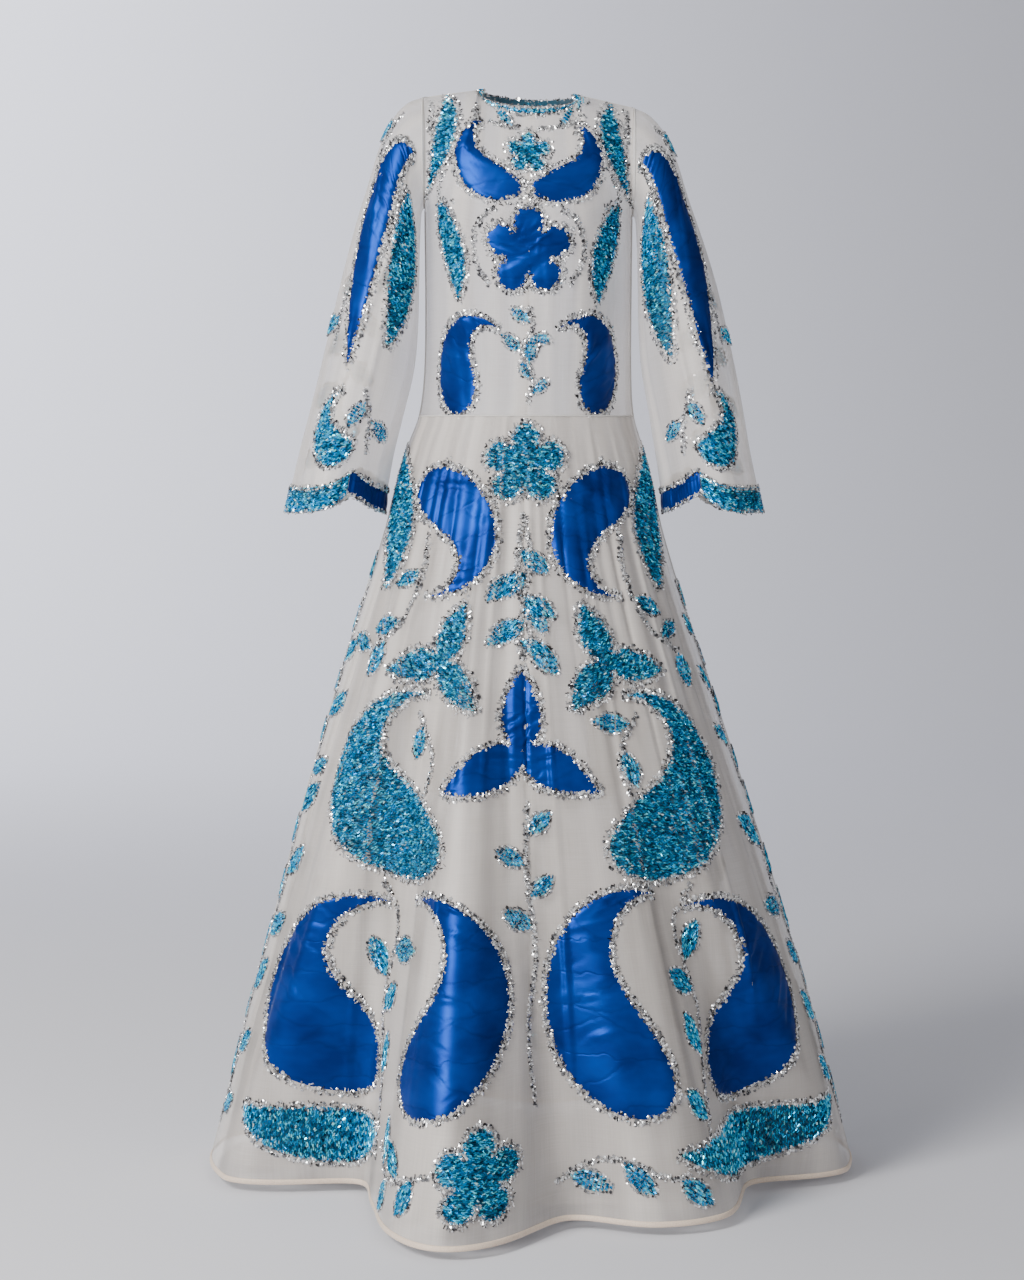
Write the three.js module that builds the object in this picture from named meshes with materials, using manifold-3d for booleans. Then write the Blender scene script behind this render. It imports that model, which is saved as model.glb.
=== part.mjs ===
// A floor-length evening dress of sheer organza, hollow and in its worn form: a straight bodice, an A-line skirt over
// an underskirt, long bell sleeves with scalloped cuffs, and raised patches of blue taffeta and turquoise beadwork.
// Millimetres, +Z up. The origin lies between the shoulders, the front faces -Y and +X is to the viewer's right.

import * as THREE from "three";
import { mergeVertices } from "three/addons/utils/BufferGeometryUtils.js";
import Module from "manifold-3d";

const wasm = await Module();
wasm.setup();

// Cloth
const WALL = 1.5;
const SEAM = 0.3;
const PATCH_WALL = 1.2;
const UNDERSKIRT_WALL = 1;

// Levels and widths of the body of the dress
const WAIST_Z = -460;
const HEM_Z = -1561;
const HEM_BAND = 8;
const ARMHOLE = { x: 152, top: -5, bottom: -163, depth: 58 };
const NECK = { half: 74, side: 8, front: -30, back: -4, forward: 72, backward: 56 };
const NECK_SHARE = 0.6; // of the columns across the bodice
const SHOULDER_ROUND = 110;
const SPREADS_BY = 1 / 2.2; // of the way down to the waist, where the columns of the bodice have their full spread
const EDGE_POWER = 6; // how close to the side the bodice turns into the armhole's oval
const SHOULDER_TILT = 0.05;
const TILT_FADES = { from: -100, to: -300 };

// The body's outline by level: half its width, its depth before and behind the side seams, how far its middle lies
// to the right, and how square its plan is, from 2 for an ellipse.
const BODY = [
  { z: 0, half: 152, front: 92, back: 88, shift: -3, square: 2.7 },
  { z: -90, half: 152, front: 103, back: 98, shift: -3, square: 2.7 },
  { z: -180, half: 151, front: 115, back: 104, shift: -3, square: 2.4 },
  { z: -300, half: 150, front: 112, back: 102, shift: -3, square: 2.2 },
  { z: -400, half: 151, front: 106, back: 98, shift: -4, square: 2 },
  { z: -460, half: 157, front: 108, back: 101, shift: -6, square: 2 },
  { z: -505, half: 172, front: 118, back: 111, shift: -8, square: 2 },
  { z: -560, half: 188, front: 133, back: 126, shift: -9, square: 2 },
  { z: -628, half: 204, front: 151, back: 144, shift: -10, square: 2 },
  { z: -731, half: 236, front: 179, back: 172, shift: -11, square: 2 },
  { z: -879, half: 283, front: 220, back: 212, shift: -9, square: 2 },
  { z: -1037, half: 332, front: 263, back: 254, shift: -6, square: 2 },
  { z: -1165, half: 369, front: 297, back: 288, shift: -2, square: 2 },
  { z: -1353, half: 423, front: 347, back: 336, shift: 0, square: 2 },
  { z: -1480, half: 456, front: 380, back: 366, shift: 1, square: 2 },
  { z: -1561, half: 477, front: 400, back: 386, shift: 1, square: 2 },
];

// The skirt's folds: the level each starts at, its place round the skirt there and at the hem in degrees from the
// front, half its spread at both, and how far it stands out at the hem, or in if negative.
const FOLDS = [
  { from: -620, top: -17, hem: -12, narrow: 7, wide: 19, deep: 128, growth: 1.5 },
  { from: -640, top: -30, hem: -45, narrow: 9, wide: 24, deep: -142, growth: 1.6 },
  { from: -700, top: 1, hem: 7, narrow: 7, wide: 13, deep: -34, growth: 1.4 },
  { from: -820, top: 18, hem: 25, narrow: 8, wide: 18, deep: 30, growth: 1.3 },
  { from: -1000, top: 31, hem: 54, narrow: 9, wide: 23, deep: -92, growth: 1.3 },
  { from: -760, top: 116, hem: 122, narrow: 9, wide: 18, deep: -78, growth: 1.4 },
  { from: -700, top: 143, hem: 149, narrow: 9, wide: 20, deep: 62, growth: 1.4 },
  { from: -900, top: 176, hem: 177, narrow: 9, wide: 15, deep: -56, growth: 1.2 },
  { from: -680, top: -158, hem: -155, narrow: 8, wide: 18, deep: 74, growth: 1.5 },
  { from: -800, top: -128, hem: -124, narrow: 9, wide: 20, deep: -84, growth: 1.4 },
];

// The sleeve's rings from the armhole to the cuff: its outer and inner edge in the front view, half its depth and
// how far forward its middle lies. The first ring is the armhole.
const SLEEVE = [
  { outer: 152.3, outerZ: -5, inner: 152.3, innerZ: -163, depth: 58, forward: 0 },
  { outer: 176, outerZ: -15, inner: 155.5, innerZ: -168, depth: 59, forward: 0 },
  { outer: 197, outerZ: -38, inner: 157, innerZ: -180, depth: 61, forward: 1 },
  { outer: 216, outerZ: -78, inner: 158, innerZ: -200, depth: 63, forward: 2 },
  { outer: 233, outerZ: -132, inner: 159, innerZ: -232, depth: 66, forward: 3 },
  { outer: 254, outerZ: -196, inner: 160, innerZ: -276, depth: 70, forward: 4 },
  { outer: 275, outerZ: -270, inner: 161, innerZ: -330, depth: 75, forward: 6 },
  { outer: 294, outerZ: -350, inner: 166, innerZ: -392, depth: 81, forward: 8 },
  { outer: 312, outerZ: -430, inner: 179, innerZ: -455, depth: 88, forward: 10 },
  { outer: 329, outerZ: -508, inner: 192, innerZ: -518, depth: 95, forward: 12 },
  { outer: 343, outerZ: -570, inner: 201, innerZ: -574, depth: 99, forward: 13 },
  { outer: 350, outerZ: -601, inner: 204, innerZ: -603, depth: 101, forward: 14 },
];

// The sleeve's folds at the cuff, in degrees round the sleeve from its outer edge by way of the front.
const SLEEVE_FOLDS = [
  { at: 42, spread: 30, deep: -9 },
  { at: 78, spread: 26, deep: 8 },
  { at: 142, spread: 26, deep: -8 },
  { at: 236, spread: 32, deep: 9 },
  { at: 302, spread: 34, deep: -10 },
];
const CUSP = { at: 108, rise: 30, outerPower: 5.5, innerPower: 1.7, from: 0.7, full: 0.925 };
const CUFF_BAND_WALL = 1.5;

// The beaded edging round the neck, and the buttons that close the back below it
const NECK_EDGING = { width: 9, gap: 0.6, inner: -0.7, outer: 1.7 };
const BUTTON = { radius: 4.5, height: 4.2, lift: 0.5, aside: 6.5, below: [13, 36, 59] };

// Grids
const COLUMNS = { bodice: 20, skirtFront: 30, skirtBack: 12, underskirt: 22, sleeve: 20 };
const SKIRT_LEVELS = [-515, -590, -700, -830, -960, -1100, -1240, -1370, -1480];
const UNDERSKIRT_LEVELS = [-560, -720, -960, -1240];
const UNDERSKIRT_HEM_Z = -1543;
const UNDERSKIRT_EASE = 12; // how far inside the skirt it hangs, reached this far below the waist:
const UNDERSKIRT_EASED = 140;
const UNDERSKIRT_SPREAD = 4; // degrees to each side that its folds keep clear of the skirt's

const COLOURS = {
  organza: { color: 0xd6d2cc, roughness: 0.6, metalness: 0 },
  underskirt: { color: 0xc4c0bc, roughness: 0.65, metalness: 0 },
  blue: { color: 0x1b52cf, roughness: 0.35, metalness: 0 },
  turquoise: { color: 0x1f93b4, roughness: 0.25, metalness: 0.5 },
  hem: { color: 0xe2cdb8, roughness: 0.7, metalness: 0 },
  button: { color: 0xd9d9dc, roughness: 0.3, metalness: 0.2 },
};

const RADIANS = Math.PI / 180;
const SIDE_TURN = 90; // where the side seams lie, in degrees from the front or the back
const NECK_TURN = SIDE_TURN * NECK_SHARE; // where the neck meets the shoulder seam
const NEAR = 1; // degrees
const mix = (a, b, t) => a + (b - a) * t;
const limited = (t) => Math.min(1, Math.max(0, t));
const eased = (t) => limited(t) ** 2 * (3 - 2 * limited(t));
const bump = (d) => (Math.abs(d) < 1 ? Math.cos((Math.PI / 2) * d) ** 2 : 0);

// A column of a table at a place between its rows, on a smooth curve through them.
function read(table, key, column, at) {
  const rising = table[0][key] < table.at(-1)[key];
  const found = table.findIndex((row) => (rising ? row[key] >= at : row[key] <= at));
  const next = found < 0 ? table.length - 1 : Math.max(1, found);
  const slope = (i) => {
    const a = table[Math.max(0, i - 1)];
    const b = table[Math.min(table.length - 1, i + 1)];
    return (b[column] - a[column]) / (b[key] - a[key]);
  };
  const [a, b] = [table[next - 1], table[next]];
  const span = b[key] - a[key];
  const t = limited((at - a[key]) / span);
  const [t2, t3] = [t * t, t * t * t];
  return (
    (2 * t3 - 3 * t2 + 1) * a[column] +
    (t3 - 2 * t2 + t) * span * slope(next - 1) +
    (3 * t2 - 2 * t3) * b[column] +
    (t3 - t2) * span * slope(next)
  );
}

// The pose: the shoulders tilt and the body leans a little to one side.
function posed(x, y, z) {
  const tilt = SHOULDER_TILT * (1 - eased((z - TILT_FADES.from) / (TILT_FADES.to - TILT_FADES.from)));
  return new THREE.Vector3(x + read(BODY, "z", "shift", z), y, z - tilt * x);
}

// How far the skirt's folds stand out at a place round it.
function foldDepth(turn, z) {
  let out = 0;
  for (const fold of FOLDS) {
    const down = limited((fold.from - z) / (fold.from - HEM_Z));
    const away = turn - mix(fold.top, fold.hem, down);
    const wrapped = away - 360 * Math.round(away / 360);
    out += fold.deep * down ** fold.growth * bump(wrapped / mix(fold.narrow, fold.wide, down));
  }
  return out;
}

// A point of the skirt, turn degrees round it from the front, or of the underskirt, which lies inset from it and
// keeps inside its folds.
function skirtPoint(turn, z, inset = 0) {
  const [across, ahead] = [Math.sin(turn * RADIANS), Math.cos(turn * RADIANS)];
  const half = read(BODY, "z", "half", z);
  const depth = read(BODY, "z", ahead > 0 ? "front" : "back", z);
  const outward = new THREE.Vector2(across / half, -ahead / depth).normalize();
  const aside = inset ? UNDERSKIRT_SPREAD : 0;
  const out = Math.min(...[-aside, 0, aside].map((away) => foldDepth(turn + away, z))) - inset;
  return posed(half * across + out * outward.x, -depth * ahead + out * outward.y, z);
}

// A point of the bodice: turn degrees from the middle of its front or back, and down from 0 at the neck and
// shoulders to 1 at the waist. side is -1 for the front and 1 for the back.
function bodicePoint(turn, down, side) {
  const lie = turn / SIDE_TURN;
  const inNeck = Math.abs(lie) < NECK_SHARE;
  const neckTurn = (lie / NECK_SHARE) * 90 * RADIANS;
  const shoulderShare = (Math.abs(lie) - NECK_SHARE) / (1 - NECK_SHARE);
  const topX = inNeck
    ? NECK.half * Math.sin(neckTurn)
    : Math.sign(lie) * mix(NECK.half, ARMHOLE.x, shoulderShare);
  const drop = NECK.side - (side < 0 ? NECK.front : NECK.back);
  const reach = side < 0 ? NECK.forward : NECK.backward;
  const topZ = inNeck
    ? NECK.side - drop * Math.cos(neckTurn)
    : mix(NECK.side, ARMHOLE.top, shoulderShare);
  const topY = inNeck ? reach * Math.cos(neckTurn) : 0;

  const z = mix(topZ, WAIST_Z, down);
  const half = z > ARMHOLE.bottom ? ARMHOLE.x : read(BODY, "z", "half", z);
  const spread = eased(down / SPREADS_BY);
  const x = half * mix(topX / ARMHOLE.x, Math.sin(turn * RADIANS), spread);
  const lean = Math.min(1, Math.abs(x / half));
  const square = read(BODY, "z", "square", z);
  const full = read(BODY, "z", side < 0 ? "front" : "back", z) * (1 - lean ** square) ** (1 / square);
  const t = limited((topZ - z) / SHOULDER_ROUND);
  const round = Math.sqrt(1 - (1 - t) ** 2);
  const slope = 1 - (1 - t) ** 2;
  const rise = mix(round, slope, inNeck ? Math.cos(neckTurn) : 0);
  const inside = topY + (full - topY) * rise;
  const height = (ARMHOLE.top - ARMHOLE.bottom) / 2;
  const up = (z - (ARMHOLE.top - height)) / height;
  const edge = up > -1 ? ARMHOLE.depth * Math.sqrt(Math.max(0, 1 - up * up)) : 0;
  return posed(x, side * mix(inside, edge, lean ** EDGE_POWER), z);
}

// How far the cuff's edge rises above its lowest points: two scallops that meet in a cusp before and behind.
function cuspRise(turn) {
  const round = Math.abs(turn > 180 ? turn - 360 : turn);
  return round < CUSP.at
    ? CUSP.rise * (round / CUSP.at) ** CUSP.outerPower
    : CUSP.rise * (1 - (round - CUSP.at) / (180 - CUSP.at)) ** CUSP.innerPower;
}

// A point of a sleeve: turn degrees round it from its outer edge by way of the front, and down from 0 at the armhole
// to 1 at the cuff. side is -1 for the left sleeve and 1 for the right.
function sleevePoint(turn, down, side) {
  const rows = SLEEVE.map((row, i) => ({ ...row, step: i / (SLEEVE.length - 1) }));
  const value = (column) => read(rows, "step", column, down);
  const [across, ahead] = [Math.cos(turn * RADIANS), Math.sin(turn * RADIANS)];
  let fold = 0;
  for (const row of SLEEVE_FOLDS) {
    const away = turn - row.at;
    fold += row.deep * bump((away - 360 * Math.round(away / 360)) / row.spread);
  }
  const out = 1 + (fold * down ** 2) / value("depth");
  const middle = { x: (value("outer") + value("inner")) / 2, z: (value("outerZ") + value("innerZ")) / 2 };
  const arm = { x: value("outer") - middle.x, z: value("outerZ") - middle.z };
  const x = middle.x + arm.x * across * out;
  const y = -value("forward") - value("depth") * ahead * out;
  const raised = eased((down - CUSP.from) / (CUSP.full - CUSP.from));
  const z = middle.z + arm.z * across + cuspRise(turn) * raised;
  return posed(side * x, y, z);
}

// A panel of cloth as a grid of points, rows from its top down and columns in the direction that makes the cross
// product of the two point outwards. fix bends the direction of the wall at its seams.
function panelOf(rows, columns, point, { wrap = false, fix = () => {} } = {}) {
  const points = rows.map((row) => columns.map((column) => point(column, row)));
  const last = columns.length - 1;
  const normals = points.map((line, j) =>
    line.map((_, i) => {
      const before = wrap ? (i || last + 1) - 1 : Math.max(0, i - 1);
      const after = wrap ? (i + 1) % (last + 1) : Math.min(last, i + 1);
      const down = points[Math.min(rows.length - 1, j + 1)][i].clone().sub(points[Math.max(0, j - 1)][i]);
      const along = line[after].clone().sub(line[before]);
      const normal = down.cross(along).normalize();
      fix(normal, j, i);
      return normal.normalize();
    }),
  );
  return { points, normals, columns, wrap };
}

// The part of a panel between two of its rows, over the columns whose places pass a test. The columns are taken in
// their order round the panel, and each free end is drawn back by a share of the gap at a seam.
function stripOf(panel, rowFrom, rowTo, within = () => true) {
  const count = panel.columns.length;
  const inside = panel.columns.map(within);
  const start = inside.findIndex((is, i) => is && (!inside[(i + count - 1) % count] || (i === 0 && !panel.wrap)));
  const first = Math.max(0, start);
  const order = inside.map((_, i) => (first + i) % count).filter((i) => inside[i]);
  const cut = (grid) => grid.slice(rowFrom, rowTo + 1).map((line) => order.map((i) => line[i].clone()));
  const strip = { points: cut(panel.points), normals: cut(panel.normals), wrap: panel.wrap && start < 0 };
  if (panel.wrap && start >= 0)
    for (const line of strip.points) {
      const drawBack = (end, next) => end.addScaledVector(next.clone().sub(end).normalize(), SEAM);
      drawBack(line[0], line[1]);
      drawBack(line.at(-1), line.at(-2));
    }
  return strip;
}

// A closed wall on a panel, between two distances from its points along their outward directions.
function wallOf({ points, normals, wrap }, inner, outer) {
  const rows = points.length;
  const columns = points[0].length;
  const position = [];
  for (const away of [outer, inner])
    points.forEach((line, j) =>
      line.forEach((p, i) => position.push(...p.clone().addScaledVector(normals[j][i], away).toArray())),
    );
  const index = [];
  const at = (layer, j, i) => layer * rows * columns + j * columns + (i % columns);
  const quad = (a, b, c, d) => index.push(a, b, c, a, c, d);
  const spans = wrap ? columns : columns - 1;
  for (let j = 0; j < rows - 1; j++)
    for (let i = 0; i < spans; i++) {
      quad(at(0, j, i), at(0, j + 1, i), at(0, j + 1, i + 1), at(0, j, i + 1));
      quad(at(1, j, i), at(1, j, i + 1), at(1, j + 1, i + 1), at(1, j + 1, i));
    }
  for (let i = 0; i < spans; i++) {
    quad(at(0, 0, i), at(0, 0, i + 1), at(1, 0, i + 1), at(1, 0, i));
    quad(at(0, rows - 1, i), at(1, rows - 1, i), at(1, rows - 1, i + 1), at(0, rows - 1, i + 1));
  }
  if (!wrap)
    for (let j = 0; j < rows - 1; j++) {
      quad(at(0, j, 0), at(1, j, 0), at(1, j + 1, 0), at(0, j + 1, 0));
      quad(at(0, j, columns - 1), at(0, j + 1, columns - 1), at(1, j + 1, columns - 1), at(1, j, columns - 1));
    }
  const geometry = new THREE.BufferGeometry();
  geometry.setAttribute("position", new THREE.Float32BufferAttribute(position, 3));
  geometry.setIndex(index);
  return geometry;
}

const spaced = (from, to, count) => Array.from({ length: count + 1 }, (_, i) => mix(from, to, i / count));

function solidOf(geometry) {
  const bare = geometry.clone();
  bare.deleteAttribute("normal");
  bare.deleteAttribute("uv");
  const merged = mergeVertices(bare, 1e-3);
  return new wasm.Manifold(
    new wasm.Mesh({
      numProp: 3,
      vertProperties: merged.attributes.position.array,
      triVerts: new Uint32Array(merged.index.array),
    }),
  );
}

function geometryOf(solid) {
  const mesh = solid.getMesh();
  const geometry = new THREE.BufferGeometry();
  geometry.setAttribute("position", new THREE.BufferAttribute(mesh.vertProperties, 3));
  geometry.setIndex(new THREE.BufferAttribute(mesh.triVerts, 1));
  return geometry;
}

// Outlines of the patches, as points anticlockwise round a middle, +Y towards the tip

// A leaf or a paisley: both sides of a spine from its foot to its tip. The spine turns through curl degrees, to the
// right if positive, evenly along a leaf and ever more towards a paisley's tip.
const SPINE_STEPS = 48;
const FOOT = 0.26; // of a paisley's length, round; the rest tapers
const LEAF_POWER = 0.9; // how full a leaf is
const TAPER_POWER = 0.8; // how full a paisley's taper is
const VALLEY = 0.5; // how deep a rosette's petals part, of its radius
const PETAL_POWER = 0.6;
const SPRAY_POWER = 0.75;
const BLADES = {
  leaf: { power: 1, start: 0.5, steps: 6, half: (t) => Math.sin(Math.PI * t) ** LEAF_POWER },
  paisley: {
    power: 1.6,
    start: 0.35,
    steps: 9,
    half: (t) =>
      t < FOOT
        ? Math.sqrt(Math.max(0, 1 - (1 - t / FOOT) ** 2))
        : (0.5 + 0.5 * Math.cos((Math.PI * (t - FOOT)) / (1 - FOOT))) ** TAPER_POWER,
  },
};

function bladeOutline({ kind, length, width, curl = 0 }) {
  const { power, start, steps, half } = BLADES[kind];
  const heading = (t) => curl * RADIANS * (t ** power - start);
  const spine = [new THREE.Vector2()];
  for (let i = 0; i < SPINE_STEPS; i++) {
    const turned = heading((i + 0.5) / SPINE_STEPS);
    const step = new THREE.Vector2(Math.sin(turned), Math.cos(turned)).multiplyScalar(length / SPINE_STEPS);
    spine.push(spine.at(-1).clone().add(step));
  }
  const middle = spine[SPINE_STEPS / 2];
  const side = (sign) => (i) => {
    const t = (1 - Math.cos((Math.PI * i) / steps)) / 2;
    const before = Math.min(SPINE_STEPS - 1, Math.floor(t * SPINE_STEPS));
    const on = spine[before].clone().lerp(spine[before + 1], t * SPINE_STEPS - before).sub(middle);
    const away = (sign * width * Math.max(0, half(t))) / 2;
    return [on.x + away * Math.cos(heading(t)), on.y - away * Math.sin(heading(t))];
  };
  const right = Array.from({ length: steps }, (_, i) => side(1)(i));
  const left = Array.from({ length: steps }, (_, i) => side(-1)(steps - i));
  return [...right, ...left];
}

// A rosette of round petals.
function rosetteOutline({ length, petals = 5 }) {
  const steps = 4 * petals;
  return Array.from({ length: steps }, (_, i) => {
    const turn = (i / steps) * 2 * Math.PI;
    const petal = Math.abs(Math.cos((petals * turn) / 2)) ** PETAL_POWER;
    const radius = (length / 2) * mix(VALLEY, 1, petal);
    return [-radius * Math.sin(turn), radius * Math.cos(turn)];
  });
}

// A spray of three pointed leaves that meet in the middle, where each is as wide as a third of width.
function sprayOutline({ length, width }) {
  const leaves = 3;
  const steps = 8 * leaves;
  return Array.from({ length: steps }, (_, i) => {
    const turn = (i / steps) * 2 * Math.PI;
    const share = (turn * leaves) / (2 * Math.PI);
    const away = Math.abs(share - Math.round(share)) * 2;
    const radius = mix(length / 2, width / 6, away ** SPRAY_POWER);
    return [-radius * Math.sin(turn), radius * Math.cos(turn)];
  });
}

const OUTLINES = { leaf: bladeOutline, paisley: bladeOutline, rosette: rosetteOutline, spray: sprayOutline };

// The patches, by the panel they lie on: their kind and finish, the place of their middle (degrees round the panel
// and its level), their length along the spine, their width and curl, and how far they are turned anticlockwise. A
// row with pair set is there twice, mirrored left and right.
const PATCHES = [
  { name: "yoke_rosette", on: "bodiceFront", kind: "rosette", finish: "turquoise", turn: 0, down: 0.135,
    length: 64 },
  { name: "yoke_paisley", on: "bodiceFront", kind: "paisley", finish: "blue", turn: 45, down: 0.2,
    length: 140, width: 58, curl: -160, lean: -32, pair: true },
  { name: "yoke_leaf", on: "bodiceFront", kind: "leaf", finish: "turquoise", turn: 72, down: 0.16,
    length: 144, width: 38, curl: 34, lean: 4, pair: true },
  { name: "bodice_rosette", on: "bodiceFront", kind: "rosette", finish: "blue", turn: 0, down: 0.46,
    length: 128 },
  { name: "bodice_leaf", on: "bodiceFront", kind: "leaf", finish: "turquoise", turn: 47, down: 0.475,
    length: 160, width: 50, curl: 60, lean: -26, pair: true },
  { name: "waist_paisley", on: "bodiceFront", kind: "paisley", finish: "blue", turn: 44, down: 0.785,
    length: 200, width: 76, curl: -170, lean: 20, pair: true },
  { name: "hip_rosette", on: "skirtFront", kind: "rosette", finish: "turquoise", turn: 0, level: -530,
    length: 120 },
  { name: "hip_paisley", on: "skirtFront", kind: "paisley", finish: "blue", turn: 21, level: -625,
    length: 268, width: 88, curl: -175, lean: 160, pair: true },
  { name: "hip_leaf", on: "skirtFront", kind: "leaf", finish: "turquoise", turn: 65, level: -600,
    length: 230, width: 60, curl: -46, lean: 162, pair: true },
  { name: "spray", on: "skirtFront", kind: "spray", finish: "turquoise", turn: 27, level: -808, length: 186,
    width: 84, lean: 20, pair: true },
  { name: "rising_spray", on: "skirtFront", kind: "spray", finish: "blue", turn: -1, level: -930,
    length: 244, width: 110 },
  { name: "rising_paisley", on: "skirtFront", kind: "paisley", finish: "turquoise", turn: 50, level: -975,
    length: 380, width: 124, curl: -180, lean: -14, pair: true },
  { name: "hem_rosette", on: "skirtFront", kind: "rosette", finish: "turquoise", turn: -8, level: -1476,
    length: 136 },
  { name: "hem_paisley_middle", on: "skirtFront", kind: "paisley", finish: "blue", turn: 10.5, level: -1238,
    length: 420, width: 134, curl: 165, lean: -4, pair: true },
  { name: "hem_leaf_side", on: "skirtFront", kind: "leaf", finish: "turquoise", turn: 51, level: -1488,
    length: 310, width: 80, curl: -44, lean: -86, pair: true },
  { name: "hem_paisley_side", on: "skirtFront", kind: "paisley", finish: "blue", turn: 59, level: -1258,
    length: 400, width: 130, curl: -170, lean: 0, pair: true },
  { name: "hem_leaf_back", on: "skirtBack", kind: "leaf", finish: "turquoise", turn: 108, level: -1360,
    length: 300, width: 92, curl: 44, lean: -20, pair: true },
  { name: "hem_paisley_back", on: "skirtBack", kind: "paisley", finish: "blue", turn: 150, level: -1295,
    length: 430, width: 138, curl: -165, pair: true },
  { name: "rising_leaf_back", on: "skirtBack", kind: "leaf", finish: "turquoise", turn: 152, level: -940,
    length: 250, width: 84, curl: 44, lean: 8, pair: true },
  { name: "sleeve_leaf_long", on: "sleeve", kind: "leaf", finish: "blue", turn: 62, down: 0.37, length: 386,
    width: 58, curl: 26, lean: -4, pair: true },
  { name: "sleeve_leaf_inner", on: "sleeve", kind: "leaf", finish: "turquoise", turn: 124, down: 0.42,
    length: 232, width: 60, curl: -30, pair: true },
  { name: "sleeve_paisley", on: "sleeve", kind: "paisley", finish: "turquoise", turn: 58, down: 0.785,
    length: 156, width: 56, curl: 150, lean: 24, pair: true },
];

// Panels of the bodice. Rows are close together over the shoulder's round and even below it.
const straightened = { x: (n) => (n.x = 0), y: (n) => (n.y = 0), z: (n) => (n.z = 0) };
const ROUND_ROWS = 5;
const ROUND_SHARE = SHOULDER_ROUND / (NECK.side - WAIST_Z);
const LOWER_ROWS = 4;
const BODICE_ROWS = [
  ...Array.from({ length: ROUND_ROWS }, (_, i) => ROUND_SHARE * (1 - Math.cos((Math.PI / 2) * (i / ROUND_ROWS)))),
  ...spaced(ROUND_SHARE, 1 - SEAM / 2 / (NECK.side - WAIST_Z), LOWER_ROWS),
];

// The directions of the bodice's wall at its seams, so that the walls meet there end to end.
function bodiceSeams(columns, middles) {
  return (normal, j, i) => {
    const outer = Math.abs(columns[i]) > SIDE_TURN - NEAR;
    const z = mix(ARMHOLE.top, WAIST_Z, BODICE_ROWS[j]);
    if (j === 0 && Math.abs(columns[i]) > NECK_TURN - NEAR) straightened.y(normal);
    if (outer && z > ARMHOLE.bottom) straightened.x(normal);
    if (outer && z <= ARMHOLE.bottom) straightened.y(normal);
    if (middles && Math.abs(columns[i]) < NEAR) straightened.x(normal);
    if (j === BODICE_ROWS.length - 1) straightened.z(normal);
  };
}

// Moves a point that lies on a seam half the gap off it.
function offSeam(point, axis, towards) {
  point[axis] += (towards * SEAM) / 2;
  return point;
}

function bodiceFront() {
  const columns = spaced(-90, 90, COLUMNS.bodice);
  const point = (turn, down) => offSeam(bodicePoint(turn, down, -1), "y", -1);
  return panelOf(BODICE_ROWS, columns, point, { fix: bodiceSeams(columns, false) });
}

// Half the bodice's back. Seen from behind, its columns run the other way, from the middle of the back outwards.
function bodiceBack(side) {
  const columns = side > 0 ? spaced(90, 0, COLUMNS.bodice / 2) : spaced(0, -90, COLUMNS.bodice / 2);
  const point = (turn, down) => {
    const p = offSeam(bodicePoint(turn, down, 1), "y", 1);
    return Math.abs(turn) < NEAR ? offSeam(p, "x", side) : p;
  };
  return panelOf(BODICE_ROWS, columns, point, { fix: bodiceSeams(columns, true) });
}

const SKIRT_ROWS = [WAIST_Z - SEAM / 2, ...SKIRT_LEVELS, HEM_Z + HEM_BAND, HEM_Z];

// A panel of the skirt between two seams, given in degrees round it from the front.
function skirtPanel(from, to, count) {
  const columns = spaced(from, to, count);
  const middle = (from + to) / 2;
  const axisOf = (turn) => {
    if (Math.abs(Math.abs(turn) - SIDE_TURN) < NEAR) return "y";
    return Math.abs(turn) > 2 * SIDE_TURN - NEAR ? "x" : null;
  };
  const point = (turn, z) => {
    const p = skirtPoint(turn, z);
    const axis = axisOf(turn);
    if (axis === "y") return offSeam(p, "y", Math.abs(middle) < SIDE_TURN ? -1 : 1);
    return axis === "x" ? offSeam(p, "x", Math.sign(middle)) : p;
  };
  const fix = (normal, j, i) => {
    const axis = axisOf(columns[i]);
    if (axis) straightened[axis](normal);
    if (j === 0) straightened.z(normal);
  };
  return panelOf(SKIRT_ROWS, columns, point, { fix });
}

// Half the underskirt, its front or back: like the skirt's panels it has seams at the sides.
function underskirtPanel(from, to) {
  const top = WAIST_Z - SEAM / 2;
  const rows = [top, ...UNDERSKIRT_LEVELS, UNDERSKIRT_HEM_Z];
  const columns = spaced(from, to, COLUMNS.underskirt);
  const towards = from + to === 0 ? -1 : 1;
  const onSeam = (i) => i === 0 || i === columns.length - 1;
  const point = (turn, z) => {
    const p = skirtPoint(turn, z, WALL + SEAM + UNDERSKIRT_EASE * eased((top - z) / UNDERSKIRT_EASED));
    return turn === from || turn === to ? offSeam(p, "y", towards) : p;
  };
  const fix = (normal, j, i) => {
    if (onSeam(i)) straightened.y(normal);
    if (j === 0) straightened.z(normal);
  };
  return panelOf(rows, columns, point, { fix });
}

const SLEEVE_ROWS = [0, 1, 2, 3, 4, 5.5, 7, 8.6, 9.9, 11].map((step) => step / (SLEEVE.length - 1));

// A sleeve is one piece round the arm. The left one's columns run the other way, so that its wall also faces out.
function sleeve(side) {
  const turns = spaced(-180, 180, COLUMNS.sleeve).slice(0, -1);
  const columns = side < 0 ? turns : turns.toReversed();
  const fix = (normal, j) => {
    if (j === 0) straightened.x(normal);
  };
  return panelOf(SLEEVE_ROWS, columns, (turn, down) => sleevePoint(turn, down, side), { wrap: true, fix });
}

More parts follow.
